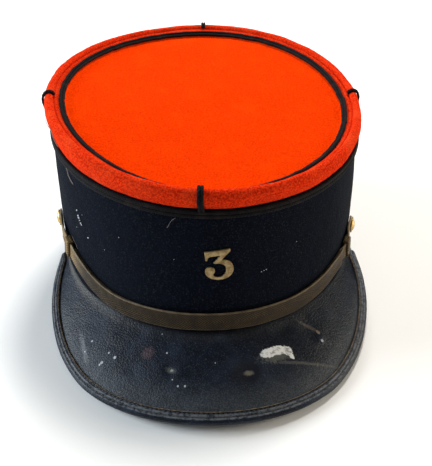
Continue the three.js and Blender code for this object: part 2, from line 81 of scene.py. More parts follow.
PEAK = {
    "middle": 0.9, "half_span": 84.0, "reach": 44.4, "bluntness": 2.5, "shift": 1.6, "thickness": 2.0,
    "camber": 1.6, "edge_height": 1.62, "level_share": 0.55, "tip_rise": 1.35,
}
PEAK_OUTLINE = [
    {"share": -0.22, "depth": 43.0, "arch": 1.5},
    {"share": 0.0, "depth": 44.4, "arch": 3.2},
    {"share": 0.22, "depth": 43.0, "arch": 1.5},
    {"share": 0.35, "depth": 40.2, "arch": 0.25},
    {"share": 0.45, "depth": 35.6, "arch": 0.0},
    {"share": 0.6, "depth": 27.8, "arch": 0.0},
    {"share": 0.7, "depth": 22.9, "arch": 0.0},
    {"share": 0.8, "depth": 17.6, "arch": 0.0},
    {"share": 0.9, "depth": 11.6, "arch": 0.0},
    {"share": 1.0, "depth": 6.0, "arch": 0.0},
]
BINDING = {"width": 5.0, "wall": 0.8, "nose": 0.7, "tip_reach": 3.4, "root_clearance": 1.2}
LACE = {"width": 10.2, "thickness": 1.0}
OUTER_STRAP = [
    {"angle": -166.5, "rise": 25.0, "lift": 0.3},
    {"angle": -162.0, "rise": 25.2, "lift": 0.8},
    {"angle": -157.0, "rise": 24.6, "lift": 1.6},
    {"angle": -151.0, "rise": 22.0, "lift": 1.6},
    {"angle": -145.0, "rise": 18.2, "lift": 1.6},
    {"angle": -139.0, "rise": 14.6, "lift": 1.6},
    {"angle": -132.0, "rise": 10.8, "lift": 1.6},
    {"angle": -126.0, "rise": 8.6, "lift": 1.6},
    {"angle": -118.0, "rise": 7.3, "lift": 1.6},
    {"angle": -90.0, "rise": 6.9, "lift": 1.6},
    {"angle": -60.0, "rise": 7.1, "lift": 1.6},
    {"angle": -50.0, "rise": 8.4, "lift": 1.6},
    {"angle": -45.0, "rise": 9.6, "lift": 1.6},
    {"angle": -38.0, "rise": 11.9, "lift": 1.6},
    {"angle": -29.5, "rise": 14.6, "lift": 1.6},
]
INNER_STRAP = [
    {"angle": -14.5, "rise": 20.9, "lift": 0.3},
    {"angle": -18.5, "rise": 19.4, "lift": 0.3},
    {"angle": -22.4, "rise": 17.3, "lift": 1.6},
    {"angle": -26.5, "rise": 15.0, "lift": 1.6},
    {"angle": -29.2, "rise": 13.6, "lift": 0.3},
    {"angle": -38.0, "rise": 10.9, "lift": 0.3},
    {"angle": -45.0, "rise": 8.6, "lift": 0.3},
    {"angle": -50.0, "rise": 7.4, "lift": 0.3},
    {"angle": -60.0, "rise": 6.1, "lift": 0.3},
    {"angle": -90.0, "rise": 5.9, "lift": 0.3},
    {"angle": -118.0, "rise": 6.3, "lift": 0.3},
    {"angle": -126.0, "rise": 7.6, "lift": 0.3},
    {"angle": -132.0, "rise": 9.8, "lift": 0.3},
    {"angle": -139.0, "rise": 13.6, "lift": 0.3},
    {"angle": -146.5, "rise": 18.2, "lift": 0.3},
]
SLIDE = {"length": 5.0, "wall": 1.0, "lift": 0.3, "clearance": 0.3}
SLIDES = [
    {"name": "strap_slide_left", "route": OUTER_STRAP, "angle": -150.0},
    {"name": "strap_slide_right", "route": INNER_STRAP, "angle": -24.5},
]
BUTTON = {"radius": 4.6, "dome": 1.6, "rim": 0.6, "shank": 1.4}
NUMERAL = {"angle": -85.2, "along": 0.583, "thickness": 1.0}

# ---- sewn, woven and worn detail, and painted shading at the peak's dents ----

# The binding's upper face, from its inner edge to its nose: inset from the nose, and height.
BINDING_RIDGES = [
    {"inset": 5.0, "height": 0.1},
    {"inset": 4.95, "height": 0.75},
    {"inset": 4.7, "height": 0.95},
    {"inset": 4.4, "height": 0.8},
    {"inset": 4.2, "height": 0.35},
    {"inset": 3.8, "height": 0.3},
    {"inset": 3.6, "height": 0.75},
    {"inset": 3.2, "height": 1.05},
    {"inset": 2.7, "height": 1.0},
    {"inset": 2.4, "height": 0.7},
    {"inset": 2.2, "height": 0.4},
    {"inset": 1.9, "height": 0.45},
    {"inset": 1.7, "height": 0.9},
    {"inset": 1.2, "height": 1.1},
    {"inset": 0.5, "height": 1.0},
    {"inset": 0.0, "height": 0.8},
]
STITCH_ROWS = [
    {"inset": 4.0, "height": 0.42},
    {"inset": 2.05, "height": 0.55},
]
STITCH = {"pitch": 2.3, "length": 1.7, "radius": 0.23}

# Dimples (negative) and bumps pressed into the peak's leather.
DENTS = [
    {"x": -18.9, "y": -97.3, "radius": 2.6, "depth": -0.9},
    {"x": 19.7, "y": -99.3, "radius": 4.0, "depth": -1.0},
    {"x": 19.7, "y": -98.4, "radius": 1.5, "depth": 0.7},
    {"x": 52.0, "y": -68.3, "radius": 5.0, "depth": -0.9},
    {"x": 58.1, "y": -73.3, "radius": 2.6, "depth": 0.8},
    {"x": -7.5, "y": -85.8, "radius": 11.0, "depth": -0.5},
    {"x": 36.5, "y": -73.8, "radius": 9.0, "depth": -0.5},
    {"x": -36.5, "y": -93.8, "radius": 7.0, "depth": -0.4},
]

# Marks on the peak: middle, half sizes and turn of each, how soft and how ragged its edge is, and
# how strongly it covers the leather. Most are stains and scuffs; the ones at the dents are painted
# shade and painted highlights.
DUST = (0.16, 0.15, 0.135)
PAINT = (0.98, 0.98, 0.96)
MARKS_AND_PAINTED_SHADING = [
    # painted shade: a dark halo round the dent
    {"x": 19.7, "y": -98.4, "along": 6.5, "across": 5.0, "turn": 10, "soft": 0.6, "ragged": 0.2, "cover": 0.75,
     "color": (0.006, 0.007, 0.012)},
    # painted highlight on the bump in that dent
    {"x": 19.9, "y": -98.5, "along": 2.3, "across": 1.1, "turn": 12, "soft": 1.0, "ragged": 0.5, "cover": 0.5,
     "color": (0.3, 0.27, 0.21)},
    # painted highlight in the small dent: a pale fringe and its bright core
    {"x": -18.5, "y": -97.5, "along": 2.4, "across": 1.3, "turn": -20, "soft": 1.1, "ragged": 0.6, "cover": 0.45,
     "color": (0.16, 0.18, 0.16)},
    {"x": -18.1, "y": -97.4, "along": 0.8, "across": 0.6, "turn": 0, "soft": 0.7, "ragged": 0.4, "cover": 0.6,
     "color": (0.4, 0.41, 0.36)},
    {"x": -30.4, "y": -87.5, "along": 2.8, "across": 2.6, "turn": 40, "soft": 0.9, "ragged": 0.9, "cover": 0.4,
     "color": (0.14, 0.085, 0.095)},
    {"x": 52.5, "y": -67.3, "along": 6.0, "across": 0.9, "turn": -14, "soft": 0.9, "ragged": 0.7, "cover": 0.55,
     "color": (0.15, 0.12, 0.1)},
    {"x": 57.1, "y": -69.3, "along": 1.3, "across": 0.8, "turn": -50, "soft": 0.7, "ragged": 0.4, "cover": 0.8,
     "color": (0.34, 0.27, 0.22)},
    # painted highlight on the raised point
    {"x": 58.9, "y": -74.0, "along": 0.8, "across": 0.7, "turn": 0, "soft": 0.6, "ragged": 0.3, "cover": 0.9,
     "color": (0.42, 0.48, 0.62)},
    {"x": 47.5, "y": -89.1, "along": 17.0, "across": 0.7, "turn": 10, "soft": 0.9, "ragged": 1.4, "cover": 0.45,
     "color": (0.17, 0.16, 0.14)},
    {"x": -65.0, "y": -75.3, "along": 8.5, "across": 1.1, "turn": -74, "soft": 0.9, "ragged": 1.3, "cover": 0.5,
     "color": (0.2, 0.21, 0.22)},
    {"x": 34.0, "y": -88.3, "along": 8.0, "across": 2.4, "turn": 18, "soft": 0.9, "ragged": 1.2, "cover": 0.5,
     "color": (0.2, 0.2, 0.17)},
]
SMEAR = [
    {"x": 30.4, "y": -87.2, "along": 4.6, "across": 2.3, "turn": 24},
    {"x": 35.4, "y": -84.9, "along": 6.2, "across": 2.4, "turn": 20},
    {"x": 40.2, "y": -84.2, "along": 2.4, "across": 2.4, "turn": 0},
    {"x": 41.9, "y": -86.3, "along": 2.2, "across": 1.2, "turn": -58},
]
SPECKS = [
    {"x": -60.6, "y": -73.4, "radius": 0.5},
    {"x": -50.8, "y": -83.2, "radius": 0.5},
    {"x": -47.4, "y": -86.5, "radius": 0.75},
    {"x": -54.2, "y": -87.1, "radius": 0.7},
    {"x": -55.3, "y": -87.8, "radius": 0.5},
    {"x": -20.7, "y": -88.7, "radius": 0.45},
    {"x": -14.8, "y": -105.5, "radius": 0.5},
    {"x": -11.3, "y": -105.7, "radius": 0.5},
    {"x": -17.5, "y": -102.3, "radius": 0.35},
    {"x": -64.1, "y": -77.8, "radius": 0.4},
    {"x": -23.5, "y": -78.3, "radius": 0.3},
    {"x": 3.5, "y": -94.8, "radius": 0.3},
]

# The crease inside the crown's roll: where it lies over the cloth, and how deep and wide it is.
CREASE = {"along": 0.75, "depth": 0.75, "width": 0.022}

# Lint on the band: where it lies round the head and above the lower edge, and its size.
LINT = [
    {"angle": -141.6, "along": 0.665, "size": 0.80},
    {"angle": -141.0, "along": 0.630, "size": 1.01},
    {"angle": -140.6, "along": 0.615, "size": 1.16},
    {"angle": -140.2, "along": 0.600, "size": 0.87},
    {"angle": -139.6, "along": 0.585, "size": 0.94},
    {"angle": -139.2, "along": 0.575, "size": 0.72},
    {"angle": -138.2, "along": 0.665, "size": 0.43},
    {"angle": -135.6, "along": 0.510, "size": 0.80},
    {"angle": -143.0, "along": 0.515, "size": 0.43},
    {"angle": -127.0, "along": 0.500, "size": 0.36},
    {"angle": -120.0, "along": 0.660, "size": 0.43},
    {"angle": -70.5, "along": 0.470, "size": 0.51},
    {"angle": -69.6, "along": 0.475, "size": 0.58},
    {"angle": -68.8, "along": 0.480, "size": 0.43},
    {"angle": -57.0, "along": 0.630, "size": 0.36},
    {"angle": -100.0, "along": 0.600, "size": 0.36},
]
# Loose fibres caught on the cap: the places that each passes, on the crown (up to 1) and band.
FIBRES = [
    {"surface": "crown", "route": [(-161.0, 0.15), (-153.0, 0.2), (-150.0, 0.05)], "radius": 0.2},
    {"surface": "band", "route": [(-148.5, 0.97), (-146.5, 0.93), (-145.5, 0.9), (-142.0, 0.86)], "radius": 0.2},
    {"surface": "band", "route": [(-148.0, 0.38), (-145.6, 0.34), (-144.0, 0.32)], "radius": 0.07},
    {"surface": "band", "route": [(-99.0, 0.93), (-100.5, 0.9), (-102.0, 0.84)], "radius": 0.06},
]


# ---- shape helpers ----


def lerp(a, b, share):
    return a + (b - a) * share


def unit(vectors):
    return vectors / np.maximum(np.linalg.norm(vectors, axis=-1, keepdims=True), 1e-12)


def smooth(share):
    share = np.clip(share, 0, 1)
    return share * share * (3 - 2 * share)


def rows_around(rows, column, place):
    """The row of a sorted table before each place, and the share of the way to the next row."""
    places = np.array([row[column] for row in rows])
    span = np.clip(np.searchsorted(places, place, side="right") - 1, 0, len(rows) - 2)
    return span, np.clip((place - places[span]) / (places[span + 1] - places[span]), 0, 1)


def smooth_through(rows, column, value, place):
    """One column's value where another has a given one, on a smooth curve through the rows."""
    places, values = (np.array([row[key] for row in rows]) for key in (column, value))
    span, share = rows_around(rows, column, place)
    before, after = np.maximum(span - 1, 0), np.minimum(span + 2, len(rows) - 1)
    width = places[span + 1] - places[span]
    slope_in = (values[span + 1] - values[before]) / (places[span + 1] - places[before])
    slope_out = (values[after] - values[span]) / (places[after] - places[span])
    return (values[span] * (1 + 2 * share) * (1 - share) ** 2 + values[span + 1] * share ** 2 * (3 - 2 * share)
            + slope_in * width * share * (1 - share) ** 2 - slope_out * width * share ** 2 * (1 - share))


def on_the_table(points):
    """Cloth and leather are pressed flat where they meet the table."""
    points[..., 2] = np.maximum(points[..., 2], 0)
    return points


def ripples(points, size, seed, waves=20):
    """Soft random waves about a size long, roughly from -1 to 1, the same on every run."""
    random = np.random.default_rng(seed)
    ways = unit(random.normal(size=(waves, 3))) * random.uniform(0.6, 1.6, (waves, 1))
    phases = random.uniform(0, 2 * math.pi, waves)
    total = np.zeros(points.shape[:-1])
    for way, phase in zip(ways, phases):
        total += np.sin(2 * math.pi / size * (points @ way) + phase)
    return total / math.sqrt(2 * waves)


def ring_point(ring, angle, out=0.0, up=0.0):
    across, along = np.cos(np.radians(angle)), np.sin(np.radians(angle))
    height = lerp(ring["z_front"], ring["z_rear"], (along + 1) / 2) - ring["lean"] * across + up
    x = ring["x"] + (ring["half_width"] + out) * across
    y = ring["y"] + (ring["half_length"] + out) * along
    return on_the_table(np.stack(np.broadcast_arrays(x, y, height), axis=-1))


def crest_point(angle, out, up):
    """A point measured from the crest ring. Inside the roll the cloth sinks at the front."""
    inside = np.clip((SINK["start_out"] - out) / (SINK["start_out"] - SINK["full_out"]), 0, 1)
    up = up - SINK["depth"] * inside * np.maximum(-np.sin(np.radians(angle)), 0) ** SINK["narrowness"]
    for wave in CREST_WAVES:
        up = up + wave["height"] * np.cos(wave["count"] * np.radians(angle - wave["peak"]))
    return ring_point(CREST, angle, out, up)


def band_surface(angle, along):
    """The band's outside: along runs from 0 at its lower edge to 1 at the seam."""
    swell = BAND["swell"] * np.sin(math.pi * np.clip(along, 0, 1))
    along = np.asarray(along)[..., None]
    return lerp(ring_point(BASE, angle, swell), ring_point(SEAM, angle, swell), along)


def crown_surface(angle, along):
    """The red crown's outside: along runs from 0 at the seam, over the crest, to 1 inside the rim."""
    angle, along = np.broadcast_arrays(np.asarray(angle, float), np.asarray(along, float))
    rows = [ring_point(SEAM, angle, 0, GAP)]
    rows += [crest_point(angle, row["out"], row["up"]) for row in CROWN_PROFILE]
    rows = np.stack([2 * rows[0] - rows[1], *rows, 2 * rows[-1] - rows[-2]], axis=-2)
    place = np.clip(along, 0, 1) * len(CROWN_PROFILE)
    span = np.minimum(place.astype(int), len(CROWN_PROFILE) - 1)
    share = (place - span)[..., None]
    a, b, c, d = (np.take_along_axis(rows, (span + k)[..., None, None], axis=-2)[..., 0, :] for k in range(4))
    ab, bc, cd = (np.sqrt(np.linalg.norm(q - p, axis=-1, keepdims=True)) for p, q in ((a, b), (b, c), (c, d)))
    leave = ((b - a) / ab - (c - a) / (ab + bc) + (c - b) / bc) * bc
    arrive = ((c - b) / bc - (d - b) / (bc + cd) + (d - c) / cd) * bc
    cubic = 2 * b - 2 * c + leave + arrive
    square = -3 * b + 3 * c - 2 * leave - arrive
    return ((cubic * share + square) * share + leave) * share + b


def surface_frame(surface, angle, along):
    """A surface's points, its ways round and up, and its outward normals."""
    step = 1e-3
    point = surface(angle, along)
    way_round = unit(surface(angle + step, along) - surface(angle - step, along))
    above = surface(angle, np.minimum(along + step, 1))
    way_up = unit(above - surface(angle, np.maximum(along - step, 0)))
    return point, way_round, way_up, unit(np.cross(way_round, way_up))


def lifted(surface, angle, along, lift):
    """Points lifted off a surface along its normals."""
    point, _, _, normal = surface_frame(surface, angle, along)
    return on_the_table(point + normal * np.asarray(lift)[..., None])


def wall_section(wall, length, steps):
    """Corners of a cloth wall's section with round ends: lift off its outside, and share of its length."""
    radius = wall / 2
    end = radius / length
    turn = np.radians(np.linspace(0, 180, 9))[1:-1]
    rise = np.linspace(end, 1 - end, steps)
    lift = np.concatenate([
        np.zeros(steps), -radius + radius * np.cos(turn), np.full(steps, -wall), -radius - radius * np.cos(turn),
    ])
    along = np.concatenate([rise, 1 - end + end * np.sin(turn), rise[::-1], end - end * np.sin(turn)])
    return lift, along


# ---- mesh helpers ----


def mesh_object(name, points, faces, uvs=None, sharp=50):
    """An object from points in millimetres, with a weave map in millimetres and its faces turned out."""
    mesh = bpy.data.meshes.new(name)
    mesh.from_pydata((points.reshape(-1, 3) * MM).tolist(), [], faces)
    if uvs is not None:
        layer = mesh.uv_layers.new(name="weave")
        layer.data.foreach_set("uv", np.asarray(uvs, np.float32).ravel())
    built = bmesh.new()
    built.from_mesh(mesh)
    bmesh.ops.remove_doubles(built, verts=built.verts, dist=1e-7)
    if built.calc_volume(signed=True) < 0:
        bmesh.ops.reverse_faces(built, faces=built.faces)
    built.to_mesh(mesh)
    built.free()
    mesh.validate()
    mesh.shade_smooth()
    mesh.set_sharp_from_angle(angle=math.radians(sharp))
    piece = bpy.data.objects.new(name, mesh)
    bpy.context.scene.collection.objects.link(piece)
    return piece


def sweep(name, points, closed, along=None, across=None, sharp=50):
    """A solid skin over stations of one closed outline; an open sweep gets a cap at each end."""
    stations, corners = points.shape[:2]
    if along is None:
        steps = np.linalg.norm(np.roll(points, -1, axis=0) - points, axis=-1).mean(axis=1)
        along = np.concatenate([[0], np.cumsum(steps)])
    if across is None:
        steps = np.linalg.norm(np.roll(points, -1, axis=1) - points, axis=-1)[stations // 3]
        across = np.concatenate([[0], np.cumsum(steps)])
    station, corner = np.meshgrid(np.arange(stations if closed else stations - 1), np.arange(corners), indexing="ij")
    near, far = station, (station + 1) % stations
    this, following = corner, (corner + 1) % corners
    quads = np.stack([near * corners + this, far * corners + this, far * corners + following,
                      near * corners + following], axis=-1).reshape(-1, 4)
    low = np.stack([along[station], across[corner]], -1)
    ahead = np.stack([along[station + 1], across[corner]], -1)
    ahead_up = np.stack([along[station + 1], across[corner + 1]], -1)
    up = np.stack([along[station], across[corner + 1]], -1)
    uvs = np.stack([low, ahead, ahead_up, up], axis=-2).reshape(-1, 2)
    faces = quads.tolist()
    if not closed:
        first = np.arange(corners)
        faces += [first.tolist(), (first[::-1] + (stations - 1) * corners).tolist()]
        ends = [np.stack([np.full(corners, along[0]), across[:-1]], -1)]
        ends.append(np.stack([np.full(corners, along[stations - 1]), across[:-1][::-1]], -1))
        uvs = np.concatenate([uvs, *ends])
    return mesh_object(name, points, faces, uvs, sharp)


def joined(name, parts, sharp=50):
    """One object from many small closed shapes, each a pair of points and faces."""
    points, faces, count = [], [], 0
    for part_points, part_faces in parts:
        points.append(part_points)
        faces += [[corner + count for corner in face] for face in part_faces]
        count += len(part_points)
    return mesh_object(name, np.concatenate(points), faces, None, sharp)


def tube(route, radius, sides=8):
    """A thin closed tube along a route, with rounded ends: its points and faces."""
    route = np.asarray(route, float)
    tangent = unit(np.gradient(route, axis=0))
    side = unit(np.cross(tangent, np.array([0.31, 0.22, 0.92])))
    lift = np.cross(tangent, side)
    turn = np.linspace(0, 2 * math.pi, sides, endpoint=False)
    fullness = np.ones(len(route))
    fullness[[0, -1]] = 0.45
    girth = (radius * fullness)[:, None, None]
    circle = side[:, None] * np.cos(turn)[None, :, None] + lift[:, None] * np.sin(turn)[None, :, None]
    points = (route[:, None] + circle * girth).reshape(-1, 3)
    faces = []
    for station in range(len(route) - 1):
        for corner in range(sides):
            following = (corner + 1) % sides
            near, far = station * sides, (station + 1) * sides
            faces.append([near + corner, near + following, far + following, far + corner])
    faces.append(list(range(sides))[::-1])
    faces.append([(len(route) - 1) * sides + corner for corner in range(sides)])
    return points, faces


def smooth_route(places, count):
    """Points evenly through a short list of places, as one smooth curve."""
    places = np.asarray(places, float)
    knots = np.arange(len(places))
    fine = np.linspace(0, len(places) - 1, count)
    slopes = np.gradient(places, axis=0)
    span = np.minimum(fine.astype(int), len(places) - 2)
    share = (fine - knots[span])[:, None]
    a, b, p, q = places[span], places[span + 1], slopes[span], slopes[span + 1]
    return (a * (1 + 2 * share) * (1 - share) ** 2 + b * share ** 2 * (3 - 2 * share)
            + p * share * (1 - share) ** 2 - q * share ** 2 * (1 - share))


# ---- materials ----


class Finish:
    """A material's nodes, with one short call for each kind that repeats. Sizes are in millimetres."""

    def __init__(self, name, **sockets):
        self.material = bpy.data.materials.new(name)
        self.material.use_nodes = True
        self.nodes = self.material.node_tree.nodes
        self.shader = self.nodes["Principled BSDF"]
        for socket, value in sockets.items():
            self.shader.inputs[socket.replace("_", " ")].default_value = value
        place = self.node("TexCoord").outputs["Object"]
        self.place = self.node("VectorMath", {0: place, 1: (1 / MM,) * 3}, operation="MULTIPLY").outputs[0]
        self.heights = []

    def node(self, kind, inputs=None, **settings):
        made = self.nodes.new("ShaderNode" + kind)
        for setting, value in settings.items():
            setattr(made, setting, value)
        for socket, value in (inputs or {}).items():
            if isinstance(value, bpy.types.NodeSocket):
                self.material.node_tree.links.new(value, made.inputs[socket])
            else:
                made.inputs[socket].default_value = value
        return made

    def math(self, operation, a, b=0.0, c=0.0):
        return self.node("Math", {0: a, 1: b, 2: c}, operation=operation).outputs[0]

    def noise(self, size, detail=2.0, roughness=0.5, vector=None):
        inputs = {"Vector": vector or self.place, "Scale": 1 / size, "Detail": detail, "Roughness": roughness}
        return self.node("TexNoise", inputs).outputs["Fac"]

    def cells(self, size, feature="F1", vector=None):
        inputs = {"Vector": vector or self.place, "Scale": 1 / size}
        return self.node("TexVoronoi", inputs, feature=feature).outputs["Distance"]

    def step(self, value, low, high, start=0.0, end=1.0):
        inputs = {"Value": value, "From Min": low, "From Max": high, "To Min": start, "To Max": end}
        return self.node("MapRange", inputs, interpolation_type="SMOOTHSTEP").outputs["Result"]

    def mix(self, share, a, b):
        a, b = ((*c, 1.0) if isinstance(c, tuple) else c for c in (a, b))
        made = self.node("Mix", {0: share, 6: a, 7: b}, data_type="RGBA")
        return made.outputs[2]

    def weave(self):
        """The weave map's ways along and across, in millimetres."""
        split = self.node("SeparateXYZ", {0: self.node("UVMap", uv_map="weave").outputs[0]})
        return split.outputs[0], split.outputs[1]

    def wave(self, phase, period):
        """A wave from 0 to 1 over a phase in millimetres."""
        turned = self.math("SINE", self.math("MULTIPLY", phase, 2 * math.pi / period))
        return self.math("MULTIPLY_ADD", turned, 0.5, 0.5)

    def blot(self, x, y, along, across, turn, soft, ragged):
        """1 inside an ellipse seen from above, 0 outside, with a soft ragged edge."""
        centred = self.node("VectorMath", {0: self.place, 1: (x, y, 0)}, operation="SUBTRACT").outputs[0]
        turned = self.node(
            "VectorRotate", {0: centred, "Angle": -math.radians(turn)}, rotation_type="Z_AXIS").outputs[0]
        sized = self.node("VectorMath", {0: turned, 1: (1 / along, 1 / across, 0)}, operation="MULTIPLY").outputs[0]
        distance = self.node("VectorMath", {0: sized}, operation="LENGTH").outputs["Value"]
        if ragged:
            wobble = self.math("MULTIPLY_ADD", self.noise(1.1, 3.0, 0.65), ragged * 2, -ragged)
            distance = self.math("ADD", distance, wobble)
        return self.step(distance, 1 - soft / 2, 1 + soft / 2, 1.0, 0.0)

    def relief(self, height, depth):
        """Adds bump of a depth in millimetres from a height between 0 and 1."""
        inputs = {"Height": height, "Distance": depth * MM, "Strength": 1.0}
        if self.heights:
            inputs["Normal"] = self.heights[-1]
        self.heights.append(self.node("Bump", inputs).outputs[0])

    def done(self, color=None, roughness=None):
        links = self.material.node_tree.links
        if color is not None:
            links.new(color, self.shader.inputs["Base Color"])
        if roughness is not None:
            links.new(roughness, self.shader.inputs["Roughness"])
        if self.heights:
            links.new(self.heights[-1], self.shader.inputs["Normal"])
        return self.material


def red_felt(name, light, dark, worn, mottle):
    """Thick red cloth, milled so that its weave hardly shows: light, dark and worn are its colours."""
    felt = Finish(name, Roughness=0.95, Specular_IOR_Level=0.0, Sheen_Weight=0.04, Sheen_Roughness=0.4,
                  Sheen_Tint=(1.0, 0.42, 0.25, 1.0))
    fuzz = felt.noise(0.9, 3.0, 0.6)
    fine = felt.noise(0.4, 2.0, 0.6)
    specks = felt.noise(0.7, 2.0, 0.7)
    patches = felt.noise(14.0, 3.0, 0.55)
    color = felt.mix(felt.step(fuzz, 0.5 - mottle, 0.5 + mottle), dark, light)
    color = felt.mix(felt.step(patches, 0.45, 0.75, 0.0, 0.35), color, worn)
    color = felt.mix(felt.step(specks, 0.6, 0.72, 0.0, 0.55), color, tuple(0.35 * part for part in dark))
    felt.relief(fuzz, 0.28)
    felt.relief(fine, 0.16)
    return felt.done(color)


def navy_cloth():
    """Dark blue wool: a fine twill under a short grey nap."""
    wool = Finish("navy_wool", Roughness=0.95, Specular_IOR_Level=0.05, Sheen_Weight=0.03, Sheen_Roughness=0.35,
                  Sheen_Tint=(0.72, 0.82, 1.0, 1.0))
    along, across = wool.weave()
    twill = wool.wave(wool.math("ADD", along, wool.math("MULTIPLY", across, 1.7)), 0.85)
    nap = wool.noise(0.8, 3.0, 0.65)
    patches = wool.noise(11.0, 3.0, 0.6)
    fleck = wool.step(nap, 0.5, 0.72)
    color = wool.mix(fleck, (0.0022, 0.0035, 0.0075), (0.019, 0.023, 0.032))
    color = wool.mix(wool.step(patches, 0.4, 0.75, 0.0, 0.5), color, (0.004, 0.006, 0.014))
    wool.relief(nap, 0.2)
    wool.relief(twill, 0.05)
    return wool.done(color)


def braid_finish():
    """Black mohair braid, rusty grey where it has worn."""
    braid = Finish("black_braid", Roughness=0.75, Specular_IOR_Level=0.12, Sheen_Weight=0.02, Sheen_Roughness=0.4,
                   Sheen_Tint=(0.9, 0.85, 0.8, 1.0))
    threads = braid.noise(0.5, 3.0, 0.6)
    worn = braid.noise(6.0, 3.0, 0.6)
    color = braid.mix(braid.step(threads, 0.42, 0.7), (0.002, 0.002, 0.003), (0.012, 0.01, 0.01))
    color = braid.mix(braid.step(worn, 0.5, 0.72, 0.0, 0.4), color, (0.03, 0.022, 0.02))
    braid.relief(threads, 0.15)
    return braid.done(color)


def leather(name):
    """Black grained leather with a blue-grey bloom."""
    hide = Finish(name, Roughness=0.45, Specular_IOR_Level=0.2, Coat_Weight=0.0)
    grain = hide.cells(0.95)
    pores = hide.noise(0.6, 3.0, 0.6)
    patches = hide.noise(17.0, 4.0, 0.6)
    color = hide.mix(hide.step(grain, 0.15, 0.75), (0.0055, 0.0092, 0.019), (0.003, 0.0048, 0.0105))
    color = hide.mix(hide.step(patches, 0.42, 0.72, 0.0, 0.75), color, (0.014, 0.022, 0.04))
    color = hide.mix(hide.step(pores, 0.54, 0.68, 0.0, 0.6), color, (0.062, 0.078, 0.102))
    return hide, color, grain, pores, patches


def peak_leather():
    hide, color, grain, pores, patches = leather("peak_leather")
    along, across = hide.weave()
    noise = hide.noise(4.0, 4.0, 0.65)
    ragged = hide.math("MULTIPLY_ADD", noise, 9.0, -4.5)
    near_strap = hide.step(hide.math("ADD", across, ragged), 2.5, 9.0, 0.6, 0.0)
    left_side = hide.step(along, -75.0, -15.0, 1.0, 0.12)
    color = hide.mix(hide.math("MULTIPLY", near_strap, left_side), color, DUST)
    edge = hide.step(hide.math("ADD", across, ragged), 24.0, 40.0, 0.0, 0.8)
    color = hide.mix(hide.math("MULTIPLY", edge, hide.step(pores, 0.4, 0.62, 0.35, 1.0)), color, (0.078, 0.088, 0.096))
    tips = hide.step(hide.math("ABSOLUTE", along), 66.0, 84.0, 0.0, 0.4)
    color = hide.mix(tips, color, (0.07, 0.066, 0.06))
    # Stains and scuffs, and at the dents painted shade and painted highlights.
    for mark in MARKS_AND_PAINTED_SHADING:
        cover = hide.blot(mark["x"], mark["y"], mark["along"], mark["across"], mark["turn"], mark["soft"],
                          mark["ragged"])
        color = hide.mix(hide.math("MULTIPLY", cover, mark["cover"]), color, mark["color"])
    for speck in SPECKS:
        cover = hide.blot(speck["x"], speck["y"], speck["radius"], speck["radius"], 0, 0.5, 0.2)
        color = hide.mix(cover, color, (0.45, 0.47, 0.5))
    smear = None
    for stroke in SMEAR:
        cover = hide.blot(**stroke, soft=0.2, ragged=0.5)
        smear = cover if smear is None else hide.math("MAXIMUM", smear, cover)
    scraped = hide.step(hide.noise(2.4, 4.0, 0.75), 0.36, 0.5, 0.45, 1.0)
    smear = hide.math("MULTIPLY", smear, scraped)
    color = hide.mix(smear, color, PAINT)
    roughness = hide.step(patches, 0.3, 0.75, 0.34, 0.5)
    roughness = hide.math("MAXIMUM", roughness, hide.math("MULTIPLY", smear, 0.85))
    hide.relief(grain, -0.16)
    hide.relief(pores, 0.16)
    hide.relief(smear, 0.15)
    return hide.done(color, roughness)


def binding_leather():
    hide, color, grain, pores, patches = leather("binding_leather")
    along, across = hide.weave()
    rubbed = hide.noise(2.2, 4.0, 0.7)
    edge = hide.step(across, 4.45, 4.75)
    tan = hide.mix(hide.step(rubbed, 0.4, 0.7), (0.1, 0.075, 0.05), (0.3, 0.23, 0.15))
    color = hide.mix(hide.math("MULTIPLY", edge, hide.step(rubbed, 0.3, 0.45, 0.6, 1.0)), color, tan)
    # Scuffs on the raised ridges, painted lighter grey-blue, which also stand in for the ridges' highlights.
    crest = hide.math("MULTIPLY", hide.step(across, 0.6, 1.1), hide.step(across, 3.5, 4.0, 1.0, 0.0))
    ridge_scuffs_and_highlight = hide.math("MULTIPLY", crest, hide.step(rubbed, 0.38, 0.58, 0.1, 0.9))
    color = hide.mix(ridge_scuffs_and_highlight, color, (0.14, 0.15, 0.165))
    roughness = hide.step(rubbed, 0.3, 0.75, 0.38, 0.6)
    hide.relief(grain, -0.06)
    hide.relief(pores, 0.08)
    return hide.done(color, roughness)


